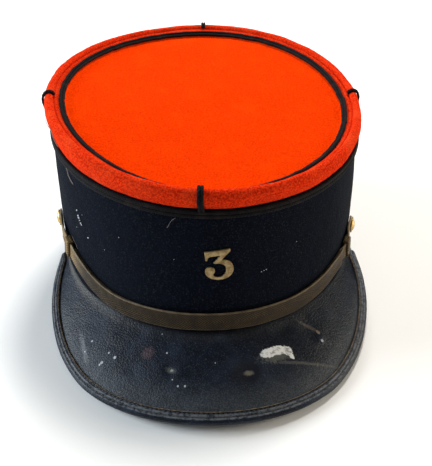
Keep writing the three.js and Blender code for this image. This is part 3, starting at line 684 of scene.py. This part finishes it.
def gilt_lace():
    """Woven gilt thread, tarnished brown: chevrons between two corded borders. The rib tops are painted lighter and
    their hollows darker, as highlight and shade, and the lengths towards the buttons are painted lighter than the front
    run, as lit.
    """
    lace = Finish("gilt_lace", Metallic=0.35, Specular_IOR_Level=0.4, Roughness=0.55)
    along, across = lace.weave()
    off_middle = lace.math("ABSOLUTE", across)
    ribs = lace.wave(lace.math("MULTIPLY_ADD", off_middle, LACE_WEAVE["slant"], along), LACE_WEAVE["pitch"])
    tarnish = lace.noise(5.0, 4.0, 0.65)
    threads = lace.noise(0.45, 3.0, 0.6)
    split = lace.node("SeparateXYZ", {0: lace.place})
    front_to_back = lace.math("MULTIPLY_ADD", split.outputs[0], -0.12, split.outputs[1])
    # Painted light: the lace is painted lighter from the front run back towards the buttons, as if lit from the sides.
    bright = lace.step(front_to_back, -38.0, -20.0)
    valley = lace.mix(bright, (0.012, 0.007, 0.003), (0.09, 0.055, 0.02))
    crown = lace.mix(lace.step(tarnish, 0.35, 0.7), (0.04, 0.024, 0.009), (0.11, 0.075, 0.035))
    crown = lace.mix(bright, crown, (0.36, 0.24, 0.1))
    # Painted highlight and shade: the rib tops get the lighter colour, the hollows between them the darker one.
    color = lace.mix(lace.math("MULTIPLY", ribs, lace.step(threads, 0.3, 0.6, 0.55, 1.0)), valley, crown)
    border = lace.step(off_middle, 4.35, 4.6)
    color = lace.mix(lace.math("MULTIPLY", border, lace.step(tarnish, 0.3, 0.6, 0.3, 0.8)), color, (0.17, 0.125, 0.075))
    lace.relief(threads, 0.12)
    return lace.done(color, lace.step(tarnish, 0.3, 0.7, 0.48, 0.7))


def brass(name, bright, dull, roughness):
    metal = Finish(name, Metallic=1.0)
    tarnish = metal.noise(2.6, 4.0, 0.65)
    pits = metal.noise(0.5, 3.0, 0.6)
    color = metal.mix(metal.step(tarnish, 0.35, 0.7), bright, dull)
    color = metal.mix(metal.step(pits, 0.58, 0.72, 0.0, 0.6), color, tuple(0.3 * part for part in dull))
    metal.relief(pits, 0.06)
    return metal.done(color, metal.step(tarnish, 0.3, 0.7, roughness, roughness + 0.15))


def plain_thread(name, light, dark):
    thread = Finish(name, Roughness=0.85, Sheen_Weight=0.3, Sheen_Roughness=0.4)
    fibres = thread.noise(0.6, 3.0, 0.6)
    return thread.done(thread.mix(fibres, dark, light))


# ---- pieces ----


def finished(piece, material, slot, *nodes):
    piece.data.materials.append(material)
    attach(piece, "root")
    if nodes:
        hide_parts(*nodes)
    return piece


def head_angles(count):
    return np.linspace(0, 360, count, endpoint=False)


def make_band(material):
    lift, along = wall_section(BAND["wall"], BAND["height"], 54)
    angle = head_angles(520)[:, None]
    skin = band_surface(angle, along[None, :])
    outside = lift[None, :] > -BAND["wall"] / 2
    cockle = 0.22 * ripples(skin, 34, 11) + 0.07 * ripples(skin, 7, 12) + 0.03 * ripples(skin, 1.7, 13)
    points = lifted(band_surface, angle, along[None, :], lift[None, :] + np.where(outside, cockle, 0.3 * cockle))
    return finished(sweep("band_cloth", points, True), material, "navy_cloth", "band")


def make_crown_side(material):
    lift, along = wall_section(CROWN["wall"], CROWN["length"], 60)
    angle = head_angles(560)[:, None]
    skin = crown_surface(angle, along[None, :])
    outside = lift[None, :] > -CROWN["wall"] / 2
    soft = 0.2 * ripples(skin, 22, 21) + 0.07 * ripples(skin, 5, 22) + 0.035 * ripples(skin, 1.4, 23)
    soft -= CREASE["depth"] * np.exp(-((along[None, :] - CREASE["along"]) / CREASE["width"]) ** 2)
    points = lifted(crown_surface, angle, along[None, :], lift[None, :] + np.where(outside, soft, 0))
    return finished(sweep("crown_side_cloth", points, True), material, "red_cloth", "crown_side")


def make_crown_top(material):
    """A cloth disc with a turned-down edge, set into the crest ring's oval."""
    level = (CREST["half_width"] + DISC["level_out"]) / (CREST["half_width"] + DISC["edge_out"])
    share = np.concatenate([[0.0], np.linspace(0.02, level, 72), np.linspace(level, 1, 9)[1:]])
    height = np.interp(share, [0, level / 2, level, 1], [
        DISC["level_up"] - DISC["dish"], DISC["level_up"] - 0.6 * DISC["dish"], DISC["level_up"], DISC["edge_up"]])
    section_share = np.concatenate([share, share[::-1]])
    section_height = np.concatenate([height, height[::-1] - DISC["thickness"]])
    angle = head_angles(400)[:, None]
    middle = np.array([CREST["x"], CREST["y"], (CREST["z_front"] + CREST["z_rear"]) / 2])
    points = lerp(middle, crest_point(angle, DISC["edge_out"], 0), section_share[None, :, None])
    soft = 0.3 * ripples(points, 40, 31) + 0.08 * ripples(points, 8, 32) + 0.03 * ripples(points, 1.6, 33)
    upper = np.arange(len(section_share)) < len(share)
    points[..., 2] += section_height[None, :] + np.where(upper[None, :], soft * (1 - section_share ** 8), 0)
    return finished(sweep("crown_top_cloth", points, True), material, "red_cloth", "crown_top")


def braid_section(low, high, thickness, columns=15):
    """Corners of a flat braid's section, two round cords side by side: lift, and place across it."""
    across = np.linspace(-1, 1, columns)
    cords = np.sqrt(np.clip(1 - (2 * np.abs(across) - 1) ** 2, 0, 1))
    lift = GAP + thickness * (0.45 + 0.55 * cords)
    lift = np.concatenate([[GAP], lift, [GAP]])
    across = np.concatenate([[-1], across, [1]])
    return lift, lerp(low, high, (across + 1) / 2), across


def plait(distance, across, pitch, depth):
    """The ribs of a plaited braid, slanted one way on one cord and the other way on its fellow."""
    return depth * np.abs(np.sin(math.pi / pitch * (distance + np.abs(across) * pitch * 1.2)))


def make_band_braid(material):
    width, height = BAND_BRAID["width"], BAND_BRAID["height"]
    lift, along, across = braid_section(1 - width / height, 1 - 0.1 / height, BAND_BRAID["thickness"])
    angle = head_angles(2100)[:, None]
    distance = np.radians(angle) * 87.5
    ribs = plait(distance, across[None, :], 87.5 * 2 * math.pi / 320, 0.22)
    raised = np.where(lift[None, :] > GAP, ribs, 0)
    points = lifted(band_surface, angle, along[None, :] + 0 * angle, lift[None, :] + raised - 0.1)
    return finished(sweep("band_braid_cords", points, True), material, "black_braid", "band_braid")


def make_top_soutache(material):
    outer, inner, thickness = TOP_SOUTACHE["outer"], TOP_SOUTACHE["inner"], TOP_SOUTACHE["thickness"]
    lift, out, across = braid_section(outer, inner, thickness)
    run = RIM_SLOPE["inner_out"] - RIM_SLOPE["outer_out"]
    fall = RIM_SLOPE["inner_up"] - RIM_SLOPE["outer_up"]
    slope = np.array([run, fall]) / math.hypot(run, fall)
    angle = head_angles(1800)[:, None]
    distance = np.radians(angle) * 80
    ribs = plait(distance, across[None, :], 80 * 2 * math.pi / 300, 0.18)
    sway = 0.2 * ripples(crest_point(angle, 0, 0), 9, 41) + 0.1 * ripples(crest_point(angle, 0, 0), 2.5, 42)
    rise = lift[None, :] + TOP_SOUTACHE["lift"] - GAP + np.where(lift[None, :] > GAP, ribs, 0)
    place = out[None, :] + sway
    up = RIM_SLOPE["outer_up"] + (out[None, :] - RIM_SLOPE["outer_out"]) * fall / run
    points = crest_point(angle, place + rise * slope[1], up - rise * slope[0])
    return finished(sweep("top_soutache_cord", points, True), material, "black_braid", "top_soutache")


def make_soutache(row, material):
    """An upright strip of braid from the seam over the crest."""
    half = row["width"] / 2
    lift, side, across = braid_section(-half, half, SOUTACHE["thickness"])
    along = np.linspace(0.0, SOUTACHE["end"], 130)[:, None]
    point, way_round, way_up, normal = surface_frame(crown_surface, np.full_like(along, row["angle"]), along)
    distance = along * CROWN["length"]
    ribs = np.where(lift[None, :] > GAP, plait(distance, across[None, :], 1.7, 0.2), 0)
    sway = 0.12 * ripples(point, 3.0, 51)
    points = point + normal * (lift[None, :] + ribs)[..., None] + way_round * (side[None, :] + sway)[..., None]
    piece = sweep(row["name"] + "_cord", points, False)
    return finished(piece, material, "black_braid", row["name"])


def peak_section(share):
    """The sections of the peak at shares of its half span, from -1 at one tip to 1 at the other."""
    angle = -90 + PEAK["middle"] + share * PEAK["half_span"]
    root = ring_point(BASE, angle)
    outward = np.stack([np.cos(np.radians(angle)) / BASE["half_width"],
                        np.sin(np.radians(angle)) / BASE["half_length"], 0 * angle], axis=-1)
    outward = unit(outward)
    size = np.abs(share)
    blunt = np.sqrt(np.maximum(1 - size ** PEAK["bluntness"], 0))
    depth = smooth_through(PEAK_OUTLINE, "share", "depth", size)
    reach = blunt * (depth + PEAK["shift"] * outward[..., 0])
    root_z = root[..., 2] - GAP
    climb = np.maximum(size - PEAK["level_share"], 0) / (1 - PEAK["level_share"])
    tip_z = root_z - PEAK["thickness"] / 2
    low_z = PEAK["edge_height"] + smooth_through(PEAK_OUTLINE, "share", "arch", size)
    edge_z = lerp(low_z, tip_z, climb ** PEAK["tip_rise"])
    drop = np.maximum(tip_z - edge_z, 0)
    camber = PEAK["camber"] * (reach / PEAK["reach"]) ** 2
    return {"root": root, "outward": outward, "reach": reach, "root_z": root_z, "drop": drop, "camber": camber}


def peak_point(section, across, depth):
    """Points of the peak: across is 0 at the band and 1 at the edge, or millimetres under the band."""
    reach = section["reach"]
    distance = np.where(across < 0, across, across * reach)
    share = np.maximum(across, 0)
    run = np.maximum(reach, 1)
    slope = np.where(across <= 0, 0, (section["drop"] - 4 * section["camber"] * (1 - 2 * share)) / run)
    steepness = np.hypot(1, slope)
    points = section["root"] + section["outward"] * (distance - depth * slope / steepness)[..., None]
    fall = section["root_z"] - section["drop"] * share + 4 * section["camber"] * share * (1 - share)
    points[..., 2] = fall - depth / steepness
    return on_the_table(points)


def peak_dents(points):
    """How far each point of the peak is pushed up, by its dents and by slow waves."""
    push = 0.22 * ripples(points * np.array([1, 1, 0]), 30, 61) + 0.1 * ripples(points * np.array([1, 1, 0]), 9, 62)
    for dent in DENTS:
        away = np.hypot(points[..., 0] - dent["x"], points[..., 1] - dent["y"]) / dent["radius"]
        push += dent["depth"] * np.exp(-away ** 2)
    return push


def make_peak(material):
    columns = np.concatenate([[-BAND["wall"]], np.linspace(0, 1, 72)])
    across = np.concatenate([columns, columns[::-1]])
    depth = np.repeat([0.0, PEAK["thickness"]], len(columns))
    share = np.sin(np.linspace(-90, 90, 400) * math.pi / 180)[:, None]
    section = peak_section(share)
    points = peak_point(section, across[None, :], depth[None, :])
    free = smooth(across / 0.15) * smooth((1 - across) / 0.15)
    points[..., 2] += peak_dents(points) * free[None, :]
    middle = peak_section(np.array([[0.0]]))["reach"][0, 0]
    weave_across = np.append(np.where(across < 0, across, across * middle), 0)
    piece = sweep("peak_leather", on_the_table(points), False, share[:, 0] * PEAK["half_span"], weave_across)
    return finished(piece, material, "black_leather", "peak")


def binding_end():
    """The share of the half span where the peak is still deep enough to be bound."""
    share = np.linspace(0.8, 1, 400)
    reach = np.minimum(peak_section(share)["reach"], peak_section(-share)["reach"])
    return share[reach >= BINDING["tip_reach"]].max()


def binding_frames(share):
    """The middle of the peak's edge, its way out and its upward normal, and how deep its binding is."""
    section = peak_section(share)
    one = np.ones_like(share)
    upper = peak_point(section, one, 0 * one)
    lower = peak_point(section, one, PEAK["thickness"] * one)
    normal = unit(upper - lower)
    outward = section["outward"]
    outward = unit(outward - normal * (outward * normal).sum(-1, keepdims=True))
    flange = np.minimum(BINDING["width"], section["reach"] - BINDING["root_clearance"])
    return (upper + lower) / 2, outward, normal, flange


def make_binding(material):
    half = PEAK["thickness"] / 2 + GAP
    insets = np.array([row["inset"] for row in BINDING_RIDGES])
    heights = np.array([row["height"] for row in BINDING_RIDGES])
    turn = np.radians(np.linspace(80, -80, 9))
    thick = half + BINDING["wall"]
    nose_out = GAP + BINDING["nose"] * np.cos(turn)
    nose_up = thick * np.sin(turn)
    under = np.linspace(0, BINDING["width"], 8)
    slot_in = np.array([BINDING["width"] * 0.99, -GAP, -GAP, BINDING["width"] * 0.99])
    slot_up = np.array([-half, -half, half, half])
    inset = np.concatenate([insets, -nose_out, under, slot_in])
    height = np.concatenate([half + heights, nose_up, np.full(len(under), -thick), slot_up])
    end = binding_end()
    share = np.linspace(-end, end, 700)[:, None]
    middle, outward, normal, flange = binding_frames(share[:, 0])
    scale = np.where(inset > 0, flange[:, None] / BINDING["width"], 1)
    reach_in = -inset[None, :] * scale
    wobble = 0.06 * ripples(middle, 6, 71) + 0.04 * ripples(middle, 2, 72)
    rise = height[None, :] + np.where(height > half, 1, 0)[None, :] * wobble[:, None]
    points = middle[:, None] + outward[:, None] * reach_in[..., None] + normal[:, None] * rise[..., None]
    weave_across = np.append(inset, inset[0])
    piece = sweep("peak_binding_leather", on_the_table(points), False, None, weave_across)
    return finished(piece, material, "black_leather", "peak_binding")


def make_binding_stitches(material):
    end = binding_end() * 0.985
    share = np.linspace(-end, end, 4000)
    middle, outward, normal, flange = binding_frames(share)
    half = PEAK["thickness"] / 2 + GAP
    parts = []
    for row in STITCH_ROWS:
        inset = row["inset"] * flange / BINDING["width"]
        line = middle - outward * inset[:, None] + normal * (half + row["height"])
        distance = np.concatenate([[0], np.cumsum(np.linalg.norm(np.diff(line, axis=0), axis=-1))])
        for start in np.arange(1, distance[-1] - STITCH["length"], STITCH["pitch"]):
            reach = start + np.linspace(0, STITCH["length"], 5)
            stitch = np.stack([np.interp(reach, distance, line[:, axis]) for axis in range(3)], axis=-1)
            up = np.stack([np.interp(reach, distance, normal[:, axis]) for axis in range(3)], axis=-1)
            arch = 0.16 * np.sin(np.linspace(0, math.pi, 5)) - 0.12
            parts.append(tube(stitch + up * arch[:, None], STITCH["radius"], 6))
    return finished(joined("binding_stitches", parts), material, "black_leather")


def route_at(route, angle):
    """A strap's rise and lift at angles, eased from row to row of its route."""
    rows = sorted(route, key=lambda row: row["angle"])
    span, share = rows_around(rows, "angle", angle)
    lifts = np.array([row["lift"] for row in rows])
    return smooth_through(rows, "angle", "rise", angle), lerp(lifts[span], lifts[span + 1], smooth(share))


def band_height(angle):
    return np.linalg.norm(band_surface(angle, 1.0) - band_surface(angle, 0.0), axis=-1)


def on_route(route, angle):
    return band_surface(angle, route_at(route, angle)[0] / band_height(angle))


def lace_frame(route, angle):
    """The lace's frame at angles of its route: its middle, and its ways along, across and off the band."""
    rise, lift = route_at(route, angle)
    point, _, _, normal = surface_frame(band_surface, angle, rise / band_height(angle))
    step = 0.2
    forward = on_route(route, angle + step) - on_route(route, angle - step)
    forward = unit(forward - normal * (forward * normal).sum(-1, keepdims=True))
    return point, forward, unit(np.cross(normal, forward)), normal, lift


LACE_WEAVE = {"pitch": 1.5, "slant": 1.15, "rib": 0.16, "border": 0.78}


def lace_section():
    """Corners of the lace's section: lift off its back, place across it from -1 to 1, and relief share."""
    face = np.linspace(-1, 1, 41)
    corner = np.sqrt(np.clip(1 - np.clip((np.abs(face) - 0.93) / 0.07, 0, 1) ** 2, 0.04, 1))
    back = np.linspace(1, -1, 9)
    lift = np.concatenate([LACE["thickness"] * (0.5 + 0.35 * corner), np.zeros(9)])
    return lift, np.concatenate([face, back * 0.97]), np.concatenate([np.ones(41), np.zeros(9)])


def lace_relief(distance, across):
    """The lace's woven relief: chevrons in the middle, and a corded border along each edge."""
    half = LACE["width"] / 2
    off_middle = np.abs(across)
    phase = distance + LACE_WEAVE["slant"] * off_middle * half
    ribs = LACE_WEAVE["rib"] * (0.5 + 0.5 * np.sin(2 * math.pi * phase / LACE_WEAVE["pitch"]))
    cord = np.clip((off_middle - LACE_WEAVE["border"]) / (0.97 - LACE_WEAVE["border"]), 0, 1)
    border = 0.3 * np.sin(math.pi * cord) * (0.85 + 0.15 * np.sin(2 * math.pi * distance / 0.9))
    return np.where(off_middle < LACE_WEAVE["border"], ribs, border)


def make_strap(name, route, material):
    """A length of lace along its route, rounded past its first row."""
    half = LACE["width"] / 2
    lift, side, woven = lace_section()
    first, last = route[0]["angle"], route[-1]["angle"]
    angle = np.linspace(first, last, 720)
    point, forward, across, normal, stand = lace_frame(route, angle)
    overhang = half * np.sin(np.radians(np.linspace(84, 4, 14)))
    way = math.copysign(1, last - first)
    ends = point[0] - way * forward[0] * overhang[:, None]
    point = np.concatenate([ends, point])
    across, normal = (np.concatenate([np.repeat(v[:1], len(ends), 0), v]) for v in (across, normal))
    stand = np.concatenate([np.full(len(ends), stand[0]), stand])
    narrow = np.concatenate([np.sqrt(1 - (overhang / half) ** 2), np.ones(len(angle))])
    distance = np.concatenate([[0], np.cumsum(np.linalg.norm(np.diff(point, axis=0), axis=-1))])
    relief = lace_relief(distance[:, None], side[None, :]) * woven[None, :]
    sag = 0.12 * ripples(point, 18, 81)[:, None] * woven[None, :]
    rise = stand[:, None] + lift[None, :] + relief + sag
    points = point[:, None] + normal[:, None] * rise[..., None]
    points += across[:, None] * (side[None, :] * half * narrow[:, None])[..., None]
    piece = sweep(name + "_lace", points, False, distance, np.append(side, side[0]) * half)
    return finished(piece, material, "gilt_lace", name)


def make_slide(row, material):
    """A loop of lace round one length of the strap."""
    point, forward, across, normal, lift = (v[0] for v in lace_frame(row["route"], np.array([row["angle"]])))
    low, wall = SLIDE["lift"], SLIDE["wall"]
    high = lift + LACE["thickness"] + GAP + wall
    wide = LACE["width"] / 2 + SLIDE["clearance"] + wall
    radius = 0.9
    corners = [(wide, high), (-wide, high), (-wide, low), (wide, low)]
    loop, outwards = [], []
    for index, (side, up) in enumerate(corners):
        middle = np.array([side - math.copysign(radius, side), up + (radius if index > 1 else -radius)])
        for turn in np.radians(np.linspace(0, 90, 7) + 90 * index):
            out = np.array([math.cos(turn), math.sin(turn)])
            loop.append(middle + out * radius)
            outwards.append(out)
    fine_loop, fine_out = [], []
    for index in range(len(loop)):
        after = (index + 1) % len(loop)
        steps = max(int(np.linalg.norm(loop[after] - loop[index]) / 0.3), 1)
        for share in np.arange(steps) / steps:
            fine_loop.append(lerp(loop[index], loop[after], share))
            fine_out.append(unit(lerp(outwards[index], outwards[after], share)))
    loop, outwards = np.array(fine_loop), np.array(fine_out)
    distance = np.concatenate([[0], np.cumsum(np.linalg.norm(np.roll(loop, -1, 0) - loop, axis=-1))])
    half = SLIDE["length"] / 2
    face = np.linspace(-1, 1, 27)
    round_edge = np.sqrt(np.clip(1 - np.clip((np.abs(face) - 0.9) / 0.1, 0, 1) ** 2, 0.04, 1))
    ribs = lace_relief(distance[:-1, None], face[None, :] * 1.02)
    depth = -wall * 0.3 * (1 - round_edge)[None, :] + ribs * 0.8 - 0.15
    section = np.concatenate([np.broadcast_to(depth, ribs.shape), np.full((len(loop), 5), -wall + 0.05)], axis=1)
    place = np.concatenate([face, np.linspace(1, -1, 5)]) * half
    flat = loop[:, None] + outwards[:, None] * section[..., None]
    points = point + across * flat[..., :1] + normal * flat[..., 1:] + forward * place[None, :, None]
    piece = sweep(row["name"] + "_lace", points, True, distance, np.append(place, place[0]))
    return finished(piece, material, "gilt_lace", row["name"])


def make_button(name, route, material):
    """A domed gilt button on the strap's end: a rolled rim, a step and a plain dome."""
    point, _, across, normal, lift = (v[0] for v in lace_frame(route, np.array([route[0]["angle"]])))
    radius, rim, dome = BUTTON["radius"], BUTTON["rim"], BUTTON["dome"]
    back = lift + LACE["thickness"] + GAP
    roll = [(radius - 0.45 + 0.45 * math.cos(t), back + 0.45 + 0.45 * math.sin(t))
            for t in np.radians(np.linspace(-90, 120, 12))]
    seat = radius - 1.05
    step = [(seat + 0.15, back + rim * 0.75), (seat, back + rim * 0.8)]
    cap = [(seat * math.cos(t), back + rim + (dome - 0.1) * math.sin(t)) for t in np.radians(np.linspace(8, 88, 16))]
    shank = BUTTON["shank"]
    profile = np.array([(0.05, GAP), (shank, GAP), (shank, back), *roll, *step, *cap, (0.02, back + rim + dome)])
    turn = np.linspace(0, 2 * math.pi, 72, endpoint=False)
    side = np.cross(normal, across)
    circle = across * np.cos(turn)[:, None] + side * np.sin(turn)[:, None]
    points = point + circle[:, None] * profile[None, :, :1] + normal * profile[None, :, 1:]
    piece = sweep(name + "_dome", points, True)
    return finished(piece, material, "brass", name)


def numeral_outline():
    """A plain flat-topped figure three: corners, and the two handles of a curve that ends at a corner."""
    start = (-7.0, 6.9)
    runs = [
        [(5.3, 8.5)],
        [(5.6, 7.2)],
        [(1.3, 2.6)],
        [(4.6, 2.8), (7.1, 0.4), (7.1, -2.8)],
        [(7.1, -6.3), (3.9, -8.6), (0.0, -8.6)],
        [(-3.7, -8.6), (-6.7, -6.9), (-6.7, -4.1)],
        [(-6.7, -2.5), (-5.6, -1.4), (-4.2, -1.4)],
        [(-2.8, -1.4), (-1.9, -2.4), (-1.9, -3.6)],
        [(-1.9, -4.9), (-2.9, -5.2), (-2.7, -6.0)],
        [(-2.4, -6.7), (-1.4, -6.9), (-0.4, -6.9)],
        [(1.9, -6.9), (3.4, -5.2), (3.4, -2.9)],
        [(3.4, -0.6), (1.6, 0.9), (-1.6, 0.4)],
        [(-2.8, 0.9)],
        [(0.6, 4.9)],
        [(-4.0, 4.3)],
        [(-5.1, 4.1), (-5.3, 3.1), (-5.6, 2.0)],
        [(-6.4, 2.1)],
    ]
    outline = [np.array(start)]
    for run in runs:
        here = outline[-1]
        if len(run) == 1:
            outline.append(np.array(run[0]))
            continue
        first, second, end = (np.array(place) for place in run)
        for t in np.linspace(0, 1, 13)[1:]:
            outline.append((1 - t) ** 3 * here + 3 * t * (1 - t) ** 2 * first + 3 * t * t * (1 - t) * second
                           + t ** 3 * end)
    return np.array(outline)


def make_numeral(material):
    """The figure stamped from sheet brass: extruded, evened into small faces, then bent onto the band."""
    outline = numeral_outline()
    curve = bpy.data.curves.new("numeral_blank", "CURVE")
    curve.dimensions = "2D"
    curve.fill_mode = "BOTH"
    spline = curve.splines.new("POLY")
    spline.points.add(len(outline) - 1)
    for place, corner in zip(spline.points, outline):
        place.co = (corner[0], corner[1], 0, 1)
    spline.use_cyclic_u = True
    curve.extrude = NUMERAL["thickness"] / 2 - 0.2
    curve.bevel_depth = 0.25
    curve.bevel_resolution = 2
    curve.offset = -0.25
    blank = bpy.data.objects.new("numeral_blank", curve)
    bpy.context.scene.collection.objects.link(blank)
    remesh = blank.modifiers.new("even", "REMESH")
    remesh.mode = "VOXEL"
    remesh.voxel_size = 0.16
    smoothing = blank.modifiers.new("soften", "SMOOTH")
    smoothing.iterations = 3
    bpy.context.view_layer.update()
    solid = bpy.data.meshes.new_from_object(blank.evaluated_get(bpy.context.evaluated_depsgraph_get()))
    bpy.data.objects.remove(blank)
    flat = np.array([vertex.co for vertex in solid.vertices])
    faces = [list(face.vertices) for face in solid.polygons]
    bpy.data.meshes.remove(solid)
    angle = NUMERAL["angle"]
    per_degree = np.linalg.norm(
        band_surface(angle + 0.5, NUMERAL["along"]) - band_surface(angle - 0.5, NUMERAL["along"]))
    rise = GAP + NUMERAL["thickness"] / 2 + flat[:, 2]
    along = NUMERAL["along"] + flat[:, 1] / band_height(angle)
    points = lifted(band_surface, angle + flat[:, 0] / per_degree, along, rise)
    return finished(mesh_object("numeral_three", points, faces, None, 60), material, "brass", "numeral")


def make_lint(material):
    """Flecks of fluff on the band: small lumpy grains."""
    random = np.random.default_rng(91)
    grain = bmesh.new()
    bmesh.ops.create_icosphere(grain, subdivisions=2, radius=1)
    ball = np.array([vertex.co for vertex in grain.verts])
    faces = [[vertex.index for vertex in face.verts] for face in grain.faces]
    grain.free()
    parts = []
    for row in LINT:
        angle, along = np.array([row["angle"]]), np.array([row["along"]])
        point, way_round, way_up, normal = (v[0] for v in surface_frame(band_surface, angle, along))
        stretch = random.uniform(0.6, 1.3, 2)
        lumps = 1 + 0.3 * ripples(ball, 1.3, int(random.integers(1000)))
        shape = ball * lumps[:, None] * row["size"] * 0.5
        points = (point + normal * (0.25 + 0.6 * shape[:, 2:]) + way_round * shape[:, :1] * stretch[0]
                  + way_up * shape[:, 1:2] * stretch[1])
        parts.append((points, faces))
    return finished(joined("band_lint", parts), material, "navy_cloth")


def make_fibres(material):
    """Loose fibres that lie on the cloth."""
    surfaces = {"band": band_surface, "crown": crown_surface}
    parts = []
    for row in FIBRES:
        places = smooth_route(row["route"], 26)
        lift = 0.35 + row["radius"] + 0.15 * np.sin(np.linspace(0, 3 * math.pi, 26))
        parts.append(tube(lifted(surfaces[row["surface"]], places[:, 0], places[:, 1], lift), row["radius"], 6))
    return finished(joined("loose_fibres", parts), material, "navy_cloth")


# ---- the room ----

CAMERA = {"elevation": 36.44, "distance": 508.16, "target": (3.86, 22.7, 13.25), "lens": 64.11, "shift_y": -0.0067}
LIGHTS = [
    {"name": "left", "place": (-1200, 60, 500), "size": (700, 700), "power": 20.0, "color": (0.82, 0.92, 1.0)},
    {"name": "back_top", "place": (120, 640, 1100), "size": (260, 260), "power": 13.0, "color": (1.0, 0.98, 0.95)},
    {"name": "right", "place": (1200, 40, 380), "size": (600, 600), "power": 8.6, "color": (1.0, 0.89, 0.7)},
]
AMBIENT = {"color": (0.97, 0.99, 1.0, 1.0), "strength": 0.2}


def make_camera():
    data = bpy.data.cameras.new("camera")
    data.lens = CAMERA["lens"]
    data.sensor_width = 36
    data.shift_y = CAMERA["shift_y"]
    data.clip_start = 0.01
    camera = bpy.data.objects.new("camera", data)
    rise = math.radians(CAMERA["elevation"])
    way = Vector((0, -math.cos(rise), math.sin(rise)))
    camera.location = (Vector(CAMERA["target"]) + way * CAMERA["distance"]) * MM
    camera.rotation_euler = way.to_track_quat("Z", "Y").to_euler()
    bpy.context.scene.collection.objects.link(camera)
    bpy.context.scene.camera = camera


def make_lights():
    for row in LIGHTS:
        data = bpy.data.lights.new(row["name"], "AREA")
        data.shape = "RECTANGLE"
        data.size, data.size_y = (side * MM for side in row["size"])
        data.energy = row["power"]
        data.color = row["color"]
        light = bpy.data.objects.new(row["name"], data)
        light.location = Vector(row["place"]) * MM
        light.rotation_euler = light.location.to_track_quat("Z", "Y").to_euler()
        bpy.context.scene.collection.objects.link(light)
    world = bpy.data.worlds.new("room")
    world.use_nodes = True
    background = world.node_tree.nodes["Background"]
    background.inputs["Color"].default_value = AMBIENT["color"]
    background.inputs["Strength"].default_value = AMBIENT["strength"]
    bpy.context.scene.world = world
    bpy.context.scene.view_settings.view_transform = "Standard"


def make_floor():
    half = 3000
    corners = np.array([(-half, -half, 0), (half, -half, 0), (half, half, 0), (-half, half, 0)], float)
    floor = mesh_object("floor", corners, [[0, 1, 2, 3]])
    paper = Finish("paper", Roughness=0.9, Specular_IOR_Level=0.2)
    tone = paper.noise(300.0, 2.0, 0.5)
    floor.data.materials.append(paper.done(paper.mix(tone, (0.94, 0.935, 0.915), (0.97, 0.965, 0.95))))


# ---- the cap ----


def make_cap():
    red_side = red_felt("red_felt_side", (0.86, 0.048, 0.009), (0.5, 0.014, 0.002), (0.88, 0.085, 0.02), 0.14)
    red_top = red_felt("red_felt_top", (0.92, 0.05, 0.0006), (0.74, 0.028, 0.0002), (0.95, 0.06, 0.001), 0.14)
    make_band(navy_cloth())
    make_crown_side(red_side)
    make_crown_top(red_top)
    black_braid = braid_finish()
    make_band_braid(black_braid)
    make_top_soutache(black_braid)
    for row in SOUTACHES:
        make_soutache(row, black_braid)
    make_peak(peak_leather())
    make_binding(binding_leather())
    make_binding_stitches(plain_thread("waxed_thread", (0.09, 0.095, 0.1), (0.02, 0.02, 0.022)))
    lace = gilt_lace()
    make_strap("chin_strap_outer", OUTER_STRAP, lace)
    make_strap("chin_strap_inner", INNER_STRAP, lace)
    for row in SLIDES:
        make_slide(row, lace)
    gilt = brass("gilt_button", (0.75, 0.52, 0.2), (0.42, 0.28, 0.1), 0.3)
    make_button("button_left", OUTER_STRAP, gilt)
    make_button("button_right", INNER_STRAP, gilt)
    make_numeral(brass("numeral_brass", (0.42, 0.31, 0.16), (0.24, 0.16, 0.07), 0.45))
    make_lint(plain_thread("white_fluff", (0.85, 0.87, 0.92), (0.55, 0.56, 0.6)))
    make_fibres(plain_thread("loose_thread", (0.42, 0.36, 0.32), (0.2, 0.14, 0.12)))


make_camera()
make_lights()
make_floor()
make_cap()

bpy.context.view_layer.update()
